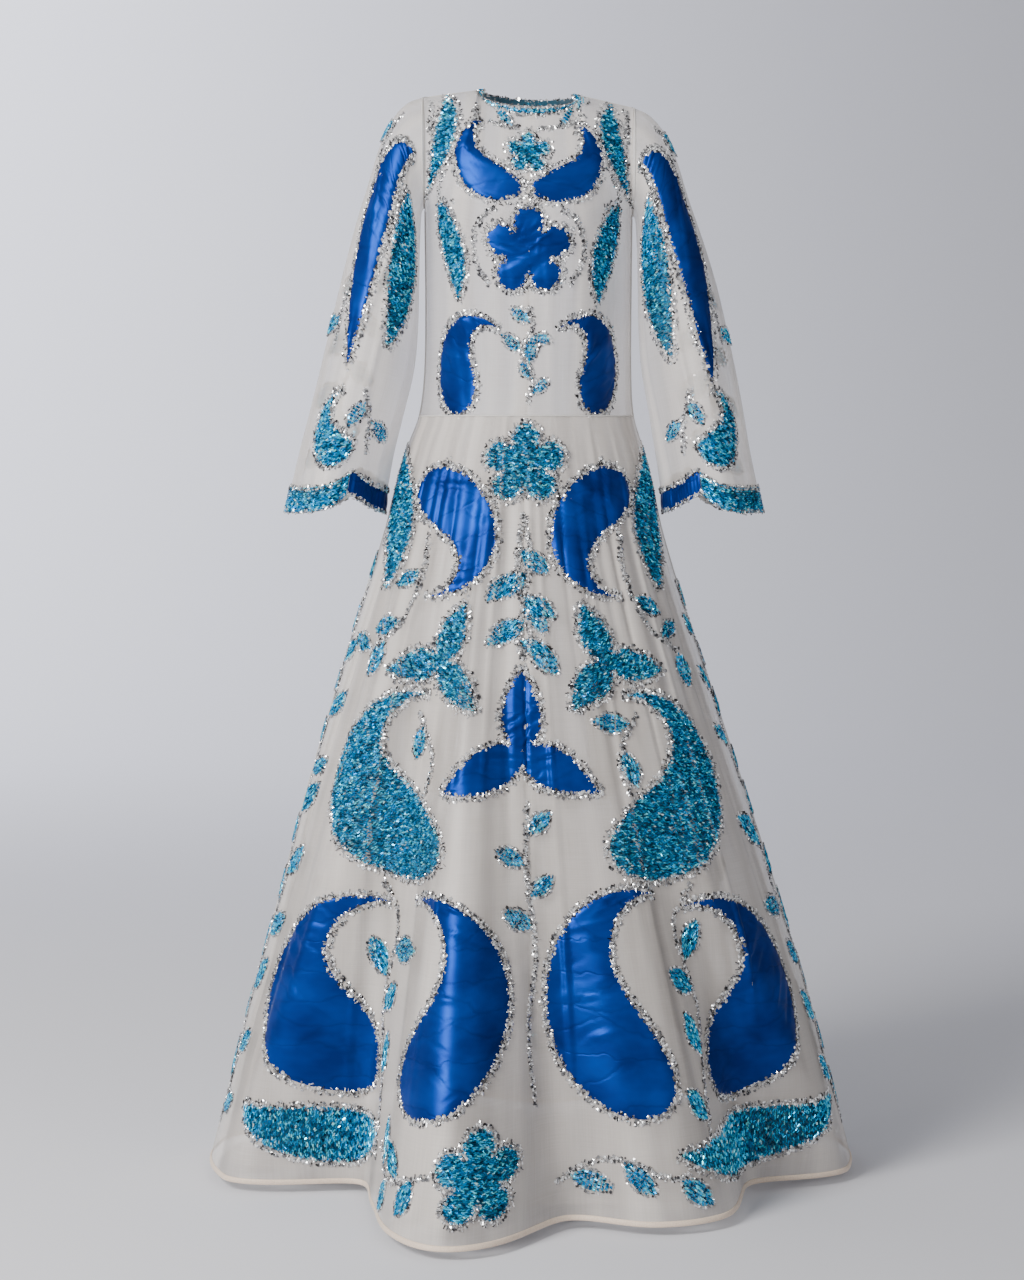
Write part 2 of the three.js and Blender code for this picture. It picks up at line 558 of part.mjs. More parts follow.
const panels = {
  bodiceFront: bodiceFront(),
  bodiceBackLeft: bodiceBack(-1),
  bodiceBackRight: bodiceBack(1),
  skirtFront: skirtPanel(-90, 90, COLUMNS.skirtFront),
  skirtBackRight: skirtPanel(90, 180, COLUMNS.skirtBack),
  skirtBackLeft: skirtPanel(-180, -90, COLUMNS.skirtBack),
  underskirtFront: underskirtPanel(-90, 90),
  underskirtBack: underskirtPanel(90, 270),
  sleeveLeft: sleeve(-1),
  sleeveRight: sleeve(1),
};

const dress = new THREE.Group();

function add(name, geometry, colour) {
  const bare = geometry.index ? geometry : mergeVertices(geometry);
  bare.computeVertexNormals();
  const mesh = new THREE.Mesh(bare, new THREE.MeshStandardMaterial(COLOURS[colour]));
  mesh.name = name;
  dress.add(mesh);
  return mesh;
}

add("bodice_front", wallOf(panels.bodiceFront, -WALL, 0), "organza");
add("bodice_back_left", wallOf(panels.bodiceBackLeft, -WALL, 0), "organza");
add("bodice_back_right", wallOf(panels.bodiceBackRight, -WALL, 0), "organza");
add("skirt_front", wallOf(panels.skirtFront, -WALL, 0), "organza");
add("skirt_back_left", wallOf(panels.skirtBackLeft, -WALL, 0), "organza");
add("skirt_back_right", wallOf(panels.skirtBackRight, -WALL, 0), "organza");
add("underskirt_front", wallOf(panels.underskirtFront, -UNDERSKIRT_WALL, 0), "underskirt");
add("underskirt_back", wallOf(panels.underskirtBack, -UNDERSKIRT_WALL, 0), "underskirt");
add("sleeve_left", wallOf(panels.sleeveLeft, -WALL, 0), "organza");
add("sleeve_right", wallOf(panels.sleeveRight, -WALL, 0), "organza");

// Trims
for (const [side, panel] of [["left", panels.sleeveLeft], ["right", panels.sleeveRight]]) {
  const rows = panel.points.length;
  const outer = stripOf(panel, rows - 2, rows - 1, (turn) => Math.abs(turn) <= CUSP.at + NEAR);
  const inner = stripOf(panel, rows - 2, rows - 1, (turn) => Math.abs(turn) >= CUSP.at - NEAR);
  add(`cuff_band_outer_${side}`, wallOf(outer, SEAM, SEAM + CUFF_BAND_WALL), "turquoise");
  add(`cuff_band_inner_${side}`, wallOf(inner, SEAM, SEAM + CUFF_BAND_WALL), "blue");
}
for (const [name, panel] of [
  ["hem_band_front", panels.skirtFront],
  ["hem_band_back_left", panels.skirtBackLeft],
  ["hem_band_back_right", panels.skirtBackRight],
]) {
  const rows = panel.points.length;
  add(name, wallOf(stripOf(panel, rows - 2, rows - 1), SEAM, SEAM + PATCH_WALL), "hem");
}

// The neck edging stands on the bodice's edge, from the middle of the back round the front and back again.
function neckEdging() {
  const edge = [];
  for (const panel of [panels.bodiceBackLeft, panels.bodiceFront, panels.bodiceBackRight])
    panel.columns.forEach((turn, i) => {
      const corner = Math.abs(turn) > NECK_TURN - NEAR;
      if (Math.abs(turn) > NECK_TURN + NEAR || (corner && panel !== panels.bodiceFront)) return;
      edge.push({ point: panel.points[0][i], normal: panel.normals[0][i] });
    });
  const line = (away) =>
    edge.map(({ point, normal }, i) => {
      const along = edge[Math.min(edge.length - 1, i + 1)].point.clone().sub(edge[Math.max(0, i - 1)].point);
      return point.clone().addScaledVector(normal.clone().cross(along).normalize(), away);
    });
  const normals = edge.map(({ normal }) => normal);
  const { width, gap, inner, outer } = NECK_EDGING;
  return wallOf({ points: [line(gap + width), line(gap)], normals: [normals, normals], wrap: false }, inner, outer);
}
add("neck_edging", neckEdging(), "turquoise");

// Buttons on the right half of the back, each on one flat face of the panel
function buttonGeometry() {
  const steps = 3;
  const profile = [new THREE.Vector2(0, 0)];
  for (let i = 0; i <= steps; i++) {
    const turn = (i / steps) * 90 * RADIANS;
    profile.push(new THREE.Vector2(BUTTON.radius * Math.cos(turn), BUTTON.height * Math.sin(turn)));
  }
  profile.at(-1).x = 0;
  return new THREE.LatheGeometry(profile, 10);
}
BUTTON.below.forEach((below, i) => {
  const { points } = panels.bodiceBackRight;
  const level = points[0].at(-1).z - below;
  const row = points.findIndex((line) => line.at(-1).z < level) - 1;
  const [above, under] = [points[row], points[row + 1]];
  const down = (above.at(-1).z - level) / (above.at(-1).z - under.at(-1).z);
  const along = BUTTON.aside / (above.at(-2).x - above.at(-1).x);
  const onRow = (line) => line.at(-1).clone().lerp(line.at(-2), along);
  const base = onRow(above).lerp(onRow(under), down);
  const across = above.at(-1).clone().sub(above.at(-2));
  const outward = under.at(-1).clone().sub(above.at(-1)).cross(across).normalize();
  const button = add(`button_${i + 1}`, buttonGeometry(), "button");
  button.quaternion.setFromUnitVectors(new THREE.Vector3(0, 1, 0), outward);
  button.position.copy(base.addScaledVector(outward, BUTTON.lift));
});

// Patches: a shell made from the panel's points, moved out, inside a straight prism of the patch's outline
const LAID_ON = {
  bodiceFront: { panel: () => "bodiceFront", point: (p, q) => bodicePoint(p, q, -1), up: -1, reach: 70 },
  skirtFront: { panel: () => "skirtFront", point: skirtPoint, up: 1, reach: 150 },
  skirtBack: {
    panel: (side) => (side > 0 ? "skirtBackRight" : "skirtBackLeft"),
    point: skirtPoint,
    up: 1,
    reach: 150,
  },
  sleeve: {
    panel: (side) => (side > 0 ? "sleeveRight" : "sleeveLeft"),
    point: sleevePoint,
    up: -1,
    reach: 40,
  },
};
const shells = {};
const shellOf = (name) => (shells[name] ??= solidOf(wallOf(panels[name], SEAM, SEAM + PATCH_WALL)));

function patchGeometry(patch, side) {
  const { panel, point, up, reach } = LAID_ON[patch.on];
  const onSleeve = patch.on === "sleeve";
  const at = (turn, level) => (onSleeve ? point(turn, level, side) : point(turn, level));
  const mirror = onSleeve ? 1 : side;
  const level = patch.level ?? patch.down;
  const turn = mirror * patch.turn;
  const [stepTurn, stepLevel] = [0.5, patch.level ? 1 : 0.002];
  const acrossSize = at(turn + stepTurn, level).distanceTo(at(turn - stepTurn, level)) / (2 * stepTurn);
  const downSize = at(turn, level + stepLevel).distanceTo(at(turn, level - stepLevel)) / (2 * stepLevel);
  const lean = (patch.lean ?? 0) * RADIANS;
  const outline = OUTLINES[patch.kind](patch).map(([a, b]) => {
    const across = mirror * (a * Math.cos(lean) - b * Math.sin(lean));
    const rise = a * Math.sin(lean) + b * Math.cos(lean);
    return at(turn + across / acrossSize, level + (up * rise) / downSize);
  });
  const middle = outline.reduce((sum, p) => sum.add(p), new THREE.Vector3()).divideScalar(outline.length);
  const facing = new THREE.Vector3();
  outline.forEach((p, i) => {
    const next = outline[(i + 1) % outline.length];
    facing.add(p.clone().sub(middle).cross(next.clone().sub(middle)));
  });
  facing.normalize();
  const right = new THREE.Vector3(0, 0, 1).cross(facing).normalize();
  const frame = new THREE.Matrix4().makeBasis(right, facing.clone().cross(right), facing).setPosition(middle);
  const inverse = frame.clone().invert();
  const flat = outline.map((p) => p.clone().applyMatrix4(inverse)).map((p) => new THREE.Vector2(p.x, p.y));
  const prism = new THREE.ExtrudeGeometry(new THREE.Shape(flat), { depth: 2 * reach, bevelEnabled: false });
  prism.translate(0, 0, -reach).applyMatrix4(frame);
  const cut = shellOf(panel(side)).intersect(solidOf(prism)).decompose();
  cut.sort((a, b) => b.volume() - a.volume());
  return geometryOf(cut[0]);
}

for (const patch of PATCHES)
  for (const [suffix, side] of patch.pair ? [["_left", -1], ["_right", 1]] : [["", 1]])
    add(patch.name + suffix, patchGeometry(patch, side), patch.finish);

export default dress;
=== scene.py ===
"""A sheer organza evening dress: panels with their soft creases, puckered blue taffeta patches, rows of
turquoise bugle beads, silver beaded borders, cuff bands, neck edging, rolled hem and covered buttons.

Sizes are in millimetres and degrees, as in the part's source, and become metres where points are made."""

import math

import bpy
import numpy as np
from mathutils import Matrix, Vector


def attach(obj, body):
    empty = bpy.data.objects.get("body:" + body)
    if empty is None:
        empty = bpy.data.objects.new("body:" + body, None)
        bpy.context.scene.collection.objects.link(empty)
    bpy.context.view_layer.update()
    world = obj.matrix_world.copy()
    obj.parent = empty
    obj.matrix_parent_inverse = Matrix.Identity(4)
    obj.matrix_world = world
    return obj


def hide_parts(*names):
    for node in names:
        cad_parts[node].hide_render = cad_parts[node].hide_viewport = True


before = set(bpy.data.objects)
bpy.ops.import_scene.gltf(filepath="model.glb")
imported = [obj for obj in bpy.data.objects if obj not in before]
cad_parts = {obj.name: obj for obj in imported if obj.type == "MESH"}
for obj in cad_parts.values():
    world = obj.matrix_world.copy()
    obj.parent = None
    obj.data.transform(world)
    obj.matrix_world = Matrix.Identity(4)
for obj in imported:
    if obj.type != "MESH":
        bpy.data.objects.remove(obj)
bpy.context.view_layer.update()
METRE = 0.001
BODY_NAME = "root"


def rows_of(names, rows):
    """A table as a column of numbers for each name."""
    return dict(zip(names.split(), np.array(rows, float).T))


def records(names, rows):
    """A table as its rows, with a name for each column."""
    return [dict(zip(names.split(), row)) for row in rows]


# The form of the dress, as in the part's source
WAIST_Z = -460
HEM_Z = -1561
HEM_BAND = 8
WALL = 1.5
SEAM = 0.3
SEAM_TURN = 0.04  # half the gap of the back's middle seam, in degrees
ARMHOLE = {"x": 152, "top": -5, "bottom": -163, "depth": 58}
NECK = {"half": 74, "side": 8, "front": -30, "back": -4, "forward": 72, "backward": 56}
NECK_SHARE = 0.6
SHOULDER_ROUND = 110
SHOULDER_TILT = 0.05
TILT_FADES = {"from": -100, "to": -300}
BODY = rows_of(
    "z half front back shift square",
    [
        (0, 152, 92, 88, -3, 2.7), (-90, 152, 103, 98, -3, 2.7), (-180, 151, 115, 104, -3, 2.4),
        (-300, 150, 112, 102, -3, 2.2), (-400, 151, 106, 98, -4, 2), (-460, 157, 108, 101, -6, 2),
        (-505, 172, 118, 111, -8, 2), (-560, 188, 133, 126, -9, 2), (-628, 204, 151, 144, -10, 2),
        (-731, 236, 179, 172, -11, 2), (-879, 283, 220, 212, -9, 2), (-1037, 332, 263, 254, -6, 2),
        (-1165, 369, 297, 288, -2, 2), (-1353, 423, 347, 336, 0, 2), (-1480, 456, 380, 366, 1, 2),
        (-1561, 477, 400, 386, 1, 2),
    ],
)
FOLDS = rows_of(
    "from top hem narrow wide deep growth",
    [
        (-620, -17, -12, 7, 19, 128, 1.5), (-640, -30, -45, 9, 24, -142, 1.6),
        (-700, 1, 7, 7, 13, -34, 1.4), (-820, 18, 25, 8, 18, 30, 1.3), (-1000, 31, 54, 9, 23, -92, 1.3),
        (-760, 116, 122, 9, 18, -78, 1.4), (-700, 143, 149, 9, 20, 62, 1.4),
        (-900, 176, 177, 9, 15, -56, 1.2), (-680, -158, -155, 8, 18, 74, 1.5),
        (-800, -128, -124, 9, 20, -84, 1.4),
    ],
)
SLEEVE = rows_of(
    "step outer outerZ inner innerZ depth forward",
    [
        (0, 152.3, -5, 152.3, -163, 58, 0), (1, 176, -15, 155.5, -168, 59, 0),
        (2, 197, -38, 157, -180, 61, 1), (3, 216, -78, 158, -200, 63, 2), (4, 233, -132, 159, -232, 66, 3),
        (5, 254, -196, 160, -276, 70, 4), (6, 275, -270, 161, -330, 75, 6),
        (7, 294, -350, 166, -392, 81, 8), (8, 312, -430, 179, -455, 88, 10),
        (9, 329, -508, 192, -518, 95, 12), (10, 343, -570, 201, -574, 99, 13),
        (11, 350, -601, 204, -603, 101, 14),
    ],
)
SLEEVE["step"] = SLEEVE["step"] / SLEEVE["step"][-1]
SLEEVE_FOLDS = rows_of(
    "at spread deep",
    [(42, 30, -9), (78, 26, 8), (142, 26, -8), (236, 32, 9), (302, 34, -10)],
)
CUSP = {"at": 108, "rise": 30, "outer_power": 5.5, "inner_power": 1.7, "from": 0.7, "full": 0.925}
BAND_TOP = 9.9 / 11  # where on the sleeve its cuff bands begin
UNDERSKIRT_HEM_Z = -1543
UNDERSKIRT_EASE = 12
UNDERSKIRT_EASED = 140
UNDERSKIRT_SPREAD = 4
NECK_EDGING = {"width": 9, "cut": 11, "gap": 0.6, "turn": 108, "corner": 54, "rounded": 14}
SHOULDER_LINE = 0.986, 0.164  # across and up, along the shoulder at the neck's corners
NEAR_NECK = 0.012  # how far down the bodice its direction at the neck is taken
BUTTONS = {"radius": 4.5, "height": 4.2, "lift": 0.5, "aside": 6.5, "below": (13, 36, 59)}

NECK_BLEND = 2.2  # how fast the neck's and shoulder's line gives way to the body's, going down
SIDE_POWER = 6  # how close to the side the body's section gives way to the armhole's
BODICE_DEGREE, SLEEVE_DEGREE = 2.4, 1.5  # millimetres to a degree, for creases
SLEEVE_CREASES_FROM = 8  # how fast a sleeve's creases come in below the armhole

# Soft creases of the cloth, finer than the folds above: where each starts and ends (degrees round the
# piece, then its level), half its width and how far it stands out, or in if negative.
SKIRT_CREASES = rows_of(
    "turn0 level0 turn1 level1 wide deep",
    [
        (-14, -470, -16, -980, 9, 3.2), (-21, -470, -24, -900, 14, -2.6), (-7, -480, -4, -1150, 11, -3.0),
        (2, -465, 3, -860, 8, 2.2), (9, -470, 12, -1020, 15, -2.8), (19, -480, 24, -1240, 12, 3.2),
        (30, -470, 34, -930, 10, -2.4), (41, -500, 47, -1350, 17, 3.6), (55, -480, 60, -1100, 12, -3.0),
        (70, -520, 74, -1420, 16, 3.4), (-34, -470, -36, -760, 9, 2.4), (-44, -480, -58, -1300, 15, 3.8),
        (-56, -500, -68, -1500, 13, -3.0), (-72, -480, -79, -1250, 17, 3.2),
        (-27, -800, -24, -1540, 12, 4.0), (28, -1050, 34, -1555, 14, -4.0), (-3, -1100, -1, -1555, 13, 3.4),
        (97, -470, 101, -1250, 13, 3.0), (112, -500, 108, -980, 11, -2.6), (128, -470, 134, -1450, 16, 3.4),
        (142, -480, 140, -900, 10, -2.4), (163, -470, 166, -1350, 14, 3.2),
        (-98, -490, -104, -1300, 14, 3.2), (-117, -470, -113, -960, 11, -2.6),
        (-138, -480, -141, -1420, 16, 3.4), (-152, -470, -148, -880, 9, 2.2),
        (-169, -480, -170, -1200, 13, -2.8), (-17, -466, -20, -1400, 6, 3.4),
        (-10, -466, -11, -1050, 5, 2.8), (0, -466, 0.5, -1330, 6, -3.0), (6, -466, 8, -1480, 6, 3.2),
        (14, -466, 18, -980, 5, -2.8), (24, -466, 29, -1420, 7, 3.4), (36, -470, 41, -1180, 6, -3.0),
        (49, -480, 54, -1500, 7, 3.2), (63, -490, 68, -1260, 6, -3.0), (-30, -466, -31, -1120, 6, -3.0),
        (-39, -470, -48, -1450, 7, 3.4), (-50, -480, -62, -1240, 6, 3.0), (-64, -490, -75, -1400, 7, -3.2),
        (105, -480, 106, -1400, 7, 3.2), (120, -470, 123, -1180, 6, -3.0), (136, -480, 138, -1500, 7, 3.2),
        (155, -470, 158, -1300, 6, -3.0), (-108, -480, -109, -1450, 7, 3.2),
        (-127, -470, -129, -1200, 6, -3.0), (-146, -480, -148, -1480, 7, 3.2),
        (-162, -470, -163, -1250, 6, -3.0),
    ],
)
UNDERSKIRT_CREASES = rows_of(
    "turn0 level0 turn1 level1 wide deep",
    [(turn, -463, turn * 1.02 + lean, end, wide, deep) for turn, lean, end, wide, deep in [
        (-84, 2, -1300, 15, 5), (-63, -3, -1180, 11, -5), (-47, 2, -1400, 14, 6), (-33, -2, -1000, 9, -4),
        (-20, 1, -1350, 12, 6), (-9, -2, -1100, 9, -5), (4, 3, -1450, 13, 6), (16, -2, -950, 9, -4),
        (27, 2, -1300, 12, 5), (40, -3, -1200, 10, -5), (56, 3, -1400, 14, 6), (77, -2, -1150, 12, -5),
        (103, 2, -1300, 14, 5), (131, -2, -1400, 15, 6), (158, 2, -1200, 12, -5), (-171, 2, -1350, 14, 6),
        (-145, -2, -1200, 12, -5), (-118, 2, -1400, 15, 5)]],
)
BODICE_CREASES = rows_of(
    "turn0 level0 turn1 level1 wide deep",
    [
        (-62, 0.22, -34, 0.98, 10, -2.6), (-44, 0.3, -22, 0.9, 8, 2.0), (-74, 0.4, -66, 1.0, 9, 2.6),
        (-12, 0.5, -9, 1.0, 8, -1.8), (10, 0.44, 14, 1.0, 9, 2.0), (30, 0.3, 24, 0.96, 8, -2.0),
        (58, 0.24, 44, 0.98, 11, 2.6), (76, 0.36, 70, 1.0, 9, -2.4),
    ],
)
SLEEVE_CREASES = rows_of(
    "turn0 level0 turn1 level1 wide deep",
    [
        (12, 0.06, 70, 0.5, 9, 3.2), (150, 0.12, 96, 0.52, 8, -3.0), (128, 0.2, 60, 0.72, 10, 3.0),
        (28, 0.3, 34, 0.98, 11, -3.4), (104, 0.42, 92, 0.98, 10, 3.2), (165, 0.3, 150, 0.98, 11, -3.6),
        (58, 0.55, 66, 1.0, 9, 2.8), (210, 0.1, 250, 0.6, 10, 3.0), (262, 0.3, 268, 0.98, 12, -3.4),
        (318, 0.12, 300, 0.9, 11, 3.2), (345, 0.35, 338, 1.0, 10, -2.8),
    ],
)

# The patches, as in the part's source. Each lies at a turn round its piece and, on the skirt, at a level,
# or elsewhere at a share of the way down. One that is a pair lies on both sides.
PATCHES = records(
    "name on kind finish pair turn at length width curl lean",
    [
        ("yoke_rosette", "bodice_front", "rosette", "turquoise", False, 0, 0.135, 64, 0, 0, 0),
        ("yoke_paisley", "bodice_front", "paisley", "blue", True, 45, 0.2, 140, 58, -160, -32),
        ("yoke_leaf", "bodice_front", "leaf", "turquoise", True, 72, 0.16, 144, 38, 34, 4),
        ("bodice_rosette", "bodice_front", "rosette", "blue", False, 0, 0.46, 128, 0, 0, 0),
        ("bodice_leaf", "bodice_front", "leaf", "turquoise", True, 47, 0.475, 160, 50, 60, -26),
        ("waist_paisley", "bodice_front", "paisley", "blue", True, 44, 0.785, 200, 76, -170, 20),
        ("hip_rosette", "skirt", "rosette", "turquoise", False, 0, -530, 120, 0, 0, 0),
        ("hip_paisley", "skirt", "paisley", "blue", True, 21, -625, 268, 88, -175, 160),
        ("hip_leaf", "skirt", "leaf", "turquoise", True, 65, -600, 230, 60, -46, 162),
        ("spray", "skirt", "spray", "turquoise", True, 27, -808, 186, 84, 0, 20),
        ("rising_spray", "skirt", "spray", "blue", False, -1, -930, 244, 110, 0, 0),
        ("rising_paisley", "skirt", "paisley", "turquoise", True, 50, -975, 380, 124, -180, -14),
        ("hem_rosette", "skirt", "rosette", "turquoise", False, -8, -1476, 136, 0, 0, 0),
        ("hem_paisley_middle", "skirt", "paisley", "blue", True, 10.5, -1238, 420, 134, 165, -4),
        ("hem_leaf_side", "skirt", "leaf", "turquoise", True, 51, -1488, 310, 80, -44, -86),
        ("hem_paisley_side", "skirt", "paisley", "blue", True, 59, -1258, 400, 130, -170, 0),
        ("hem_leaf_back", "skirt", "leaf", "turquoise", True, 108, -1360, 300, 92, 44, -20),
        ("hem_paisley_back", "skirt", "paisley", "blue", True, 150, -1295, 430, 138, -165, 0),
        ("rising_leaf_back", "skirt", "leaf", "turquoise", True, 152, -940, 250, 84, 44, 8),
        ("sleeve_leaf_long", "sleeve", "leaf", "blue", True, 62, 0.37, 386, 58, 26, -4),
        ("sleeve_leaf_inner", "sleeve", "leaf", "turquoise", True, 124, 0.42, 232, 60, -30, 0),
        ("sleeve_paisley", "sleeve", "paisley", "turquoise", True, 58, 0.785, 156, 56, 150, 24),
    ],
)

# Vines: stems of silver beads with leaflets of turquoise bugles, in the spaces between the patches. Each
# stem is a smooth curve through points, in degrees round the piece and its level. Its leaflets are as long as
# leaf times leaf_scale, give or take, and stand every so many millimetres; where leaf is 0 there are none.
VINES = records(
    "name on pair leaf every points",
    [
        ("neck", "bodice_front", True, 20, 24, [(4, 0.05), (22, 0.055), (40, 0.06), (53, 0.05)]),
        ("yoke", "bodice_front", True, 24, 26, [(54, 0.07), (60, 0.2), (66, 0.3), (58, 0.36), (48, 0.345)]),
        ("armhole", "bodice_front", True, 0, 30, [(84, 0.02), (85, 0.12), (85, 0.24), (83, 0.33)]),
        ("breast", "bodice_front", True, 24, 28,
         [(8, 0.305), (20, 0.33), (30, 0.4), (31, 0.5), (22, 0.58)]),
        ("waist", "bodice_front", False, 22, 22, [(0, 0.96), (3, 0.88), (-3, 0.79), (2, 0.71), (0, 0.64)]),
        ("middle", "skirt", True, 34, 34, [(0, -600), (2.4, -660), (0.5, -720), (-2, -770), (0, -806)]),
        ("hip", "skirt", True, 34, 38, [(38, -520), (42, -600), (40, -680), (46, -760), (60, -800)]),
        ("spray_stem", "skirt", True, 34, 40, [(34, -880), (26, -940), (27, -1010), (20, -1060)]),
        ("hem_stem", "skirt", False, 34, 44,
         [(0.5, -1404), (-0.6, -1300), (1, -1200), (-0.5, -1100), (0, -1000)]),
        ("hem_rise", "skirt", True, 44, 46,
         [(33, -1500), (34, -1400), (38, -1290), (34, -1180), (41, -1120)]),
        ("hem_garland", "skirt", True, 40, 42, [(4, -1508), (14, -1474), (24, -1500), (30, -1470)]),
        ("side_rise", "skirt", True, 44, 46,
         [(84, -1500), (81, -1400), (84, -1270), (78, -1150), (80, -1040)]),
        ("side_high", "skirt", True, 36, 42, [(80, -1000), (78, -900), (82, -800), (78, -700)]),
        ("back_rise", "skirt", True, 44, 46,
         [(128, -1500), (126, -1400), (130, -1290), (125, -1160), (132, -1060)]),
        ("back_middle", "skirt", True, 40, 46,
         [(172, -1490), (176, -1380), (171, -1260), (175, -1140), (171, -1010)]),
        ("sleeve_outer", "sleeve", True, 30, 36, [(36, 0.12), (33, 0.3), (38, 0.5), (36, 0.64)]),
        ("sleeve_inner", "sleeve", True, 28, 30, [(96, 0.7), (112, 0.76), (120, 0.84)]),
        ("sleeve_back", "sleeve", True, 34, 40, [(-60, 0.12), (-66, 0.35), (-58, 0.6), (-66, 0.84)]),
    ],
)

# The camera: where the photograph was taken from, and the room
CAMERA = {"x": -27, "distance": 4200, "z": -500, "pitch": -3.95, "lens": 80.2, "sensor": 36, "far": 60}
FLOOR_Z = -1574


def mix(a, b, t):
    return a + (b - a) * t


def eased(t):
    """From 0 to 1 along t, level at both ends: 3t^2 - 2t^3."""
    t = np.clip(t, 0, 1)
    return t * t * (3 - 2 * t)


def bump(d):
    """A round hill: the square of a cosine, 1 at 0 and 0 from -1 and 1 on."""
    return np.where(np.abs(d) < 1, np.cos(np.pi / 2 * np.clip(d, -1, 1)) ** 2, 0)


def wrapped(turn):
    return turn - 360 * np.round(turn / 360)


def unit(vectors):
    return vectors / np.maximum(np.linalg.norm(vectors, axis=-1, keepdims=True), 1e-12)


def run_along(points):
    """The length of a line of points up to each of them."""
    return np.concatenate([[0], np.cumsum(np.linalg.norm(np.diff(points, axis=0), axis=1))])


def read(table, key, column, at):
    """A column of a table between its rows: the cubic through each pair of rows that has, at each row,
    the slope from the row before it to the row after it."""
    keys, values = table[key], table[column]
    last = len(keys) - 1
    before = np.maximum(np.arange(last + 1) - 1, 0)
    after = np.minimum(np.arange(last + 1) + 1, last)
    slopes = (values[after] - values[before]) / (keys[after] - keys[before])
    sense = 1 if keys[0] < keys[-1] else -1
    b = np.clip(np.searchsorted(sense * keys, sense * np.asarray(at, float)), 1, last)
    a = b - 1
    span = keys[b] - keys[a]
    t = np.clip((at - keys[a]) / span, 0, 1)
    return (
        (2 * t**3 - 3 * t**2 + 1) * values[a]
        + (t**3 - 2 * t**2 + t) * span * slopes[a]
        + (3 * t**2 - 2 * t**3) * values[b]
        + (t**3 - t**2) * span * slopes[b]
    )


def posed(x, y, z):
    """Points in metres: the body's lean moves them sideways by level, and the shoulders' tilt lowers the
    right."""
    tilt = SHOULDER_TILT * (1 - eased((z - TILT_FADES["from"]) / (TILT_FADES["to"] - TILT_FADES["from"])))
    x, y, z = np.broadcast_arrays(x, y, z)
    return np.stack([x + read(BODY, "z", "shift", z), y, z - tilt * x], axis=-1) * METRE


def creased(table, turn, level, millimetres):
    """How far creases stand out: for each, a round hill across its line, times the root of a sine along
    it, so that it fades at both ends. The line runs straight between its two ends, and millimetres is the
    size of a degree."""
    out = 0
    for turn0, level0, turn1, level1, wide, deep in zip(*table.values()):
        along = (level - level0) / (level1 - level0)
        across = wrapped(turn - mix(turn0, turn1, np.clip(along, 0, 1))) * millimetres
        out = out + deep * bump(across / wide) * np.sqrt(np.sin(np.pi * np.clip(along, 0, 1)))
    return out


def fold_depth(turn, z):
    """How far the skirt's folds stand out: each is a round hill or trough that widens and deepens towards
    the hem."""
    out = 0
    for start, top, hem, narrow, wide, deep, growth in zip(*FOLDS.values()):
        down = np.clip((start - z) / (start - HEM_Z), 0, 1)
        away = wrapped(turn - mix(top, hem, down))
        out = out + deep * down**growth * bump(away / mix(narrow, wide, down))
    return out


def skirt_point(turn, z, inset=0, creases=SKIRT_CREASES):
    """The skirt: at each level an ellipse, with folds and creases along its outward direction. The
    underskirt lies inset from it, and inside the folds a few degrees to either side."""
    turn, z = np.broadcast_arrays(turn, z)
    across, ahead = np.sin(np.radians(turn)), np.cos(np.radians(turn))
    half = read(BODY, "z", "half", z)
    depth = np.where(ahead > 0, read(BODY, "z", "front", z), read(BODY, "z", "back", z))
    long = np.hypot(across / half, ahead / depth)
    aside = UNDERSKIRT_SPREAD if np.any(inset) else 0
    out = np.minimum.reduce([fold_depth(turn + away, z) for away in (-aside, 0, aside)]) - inset
    out = out + creased(creases, turn, z, np.radians((half + depth) / 2))
    x = half * across + out * across / half / long
    y = -depth * ahead - out * ahead / depth / long
    return posed(x, y, z)


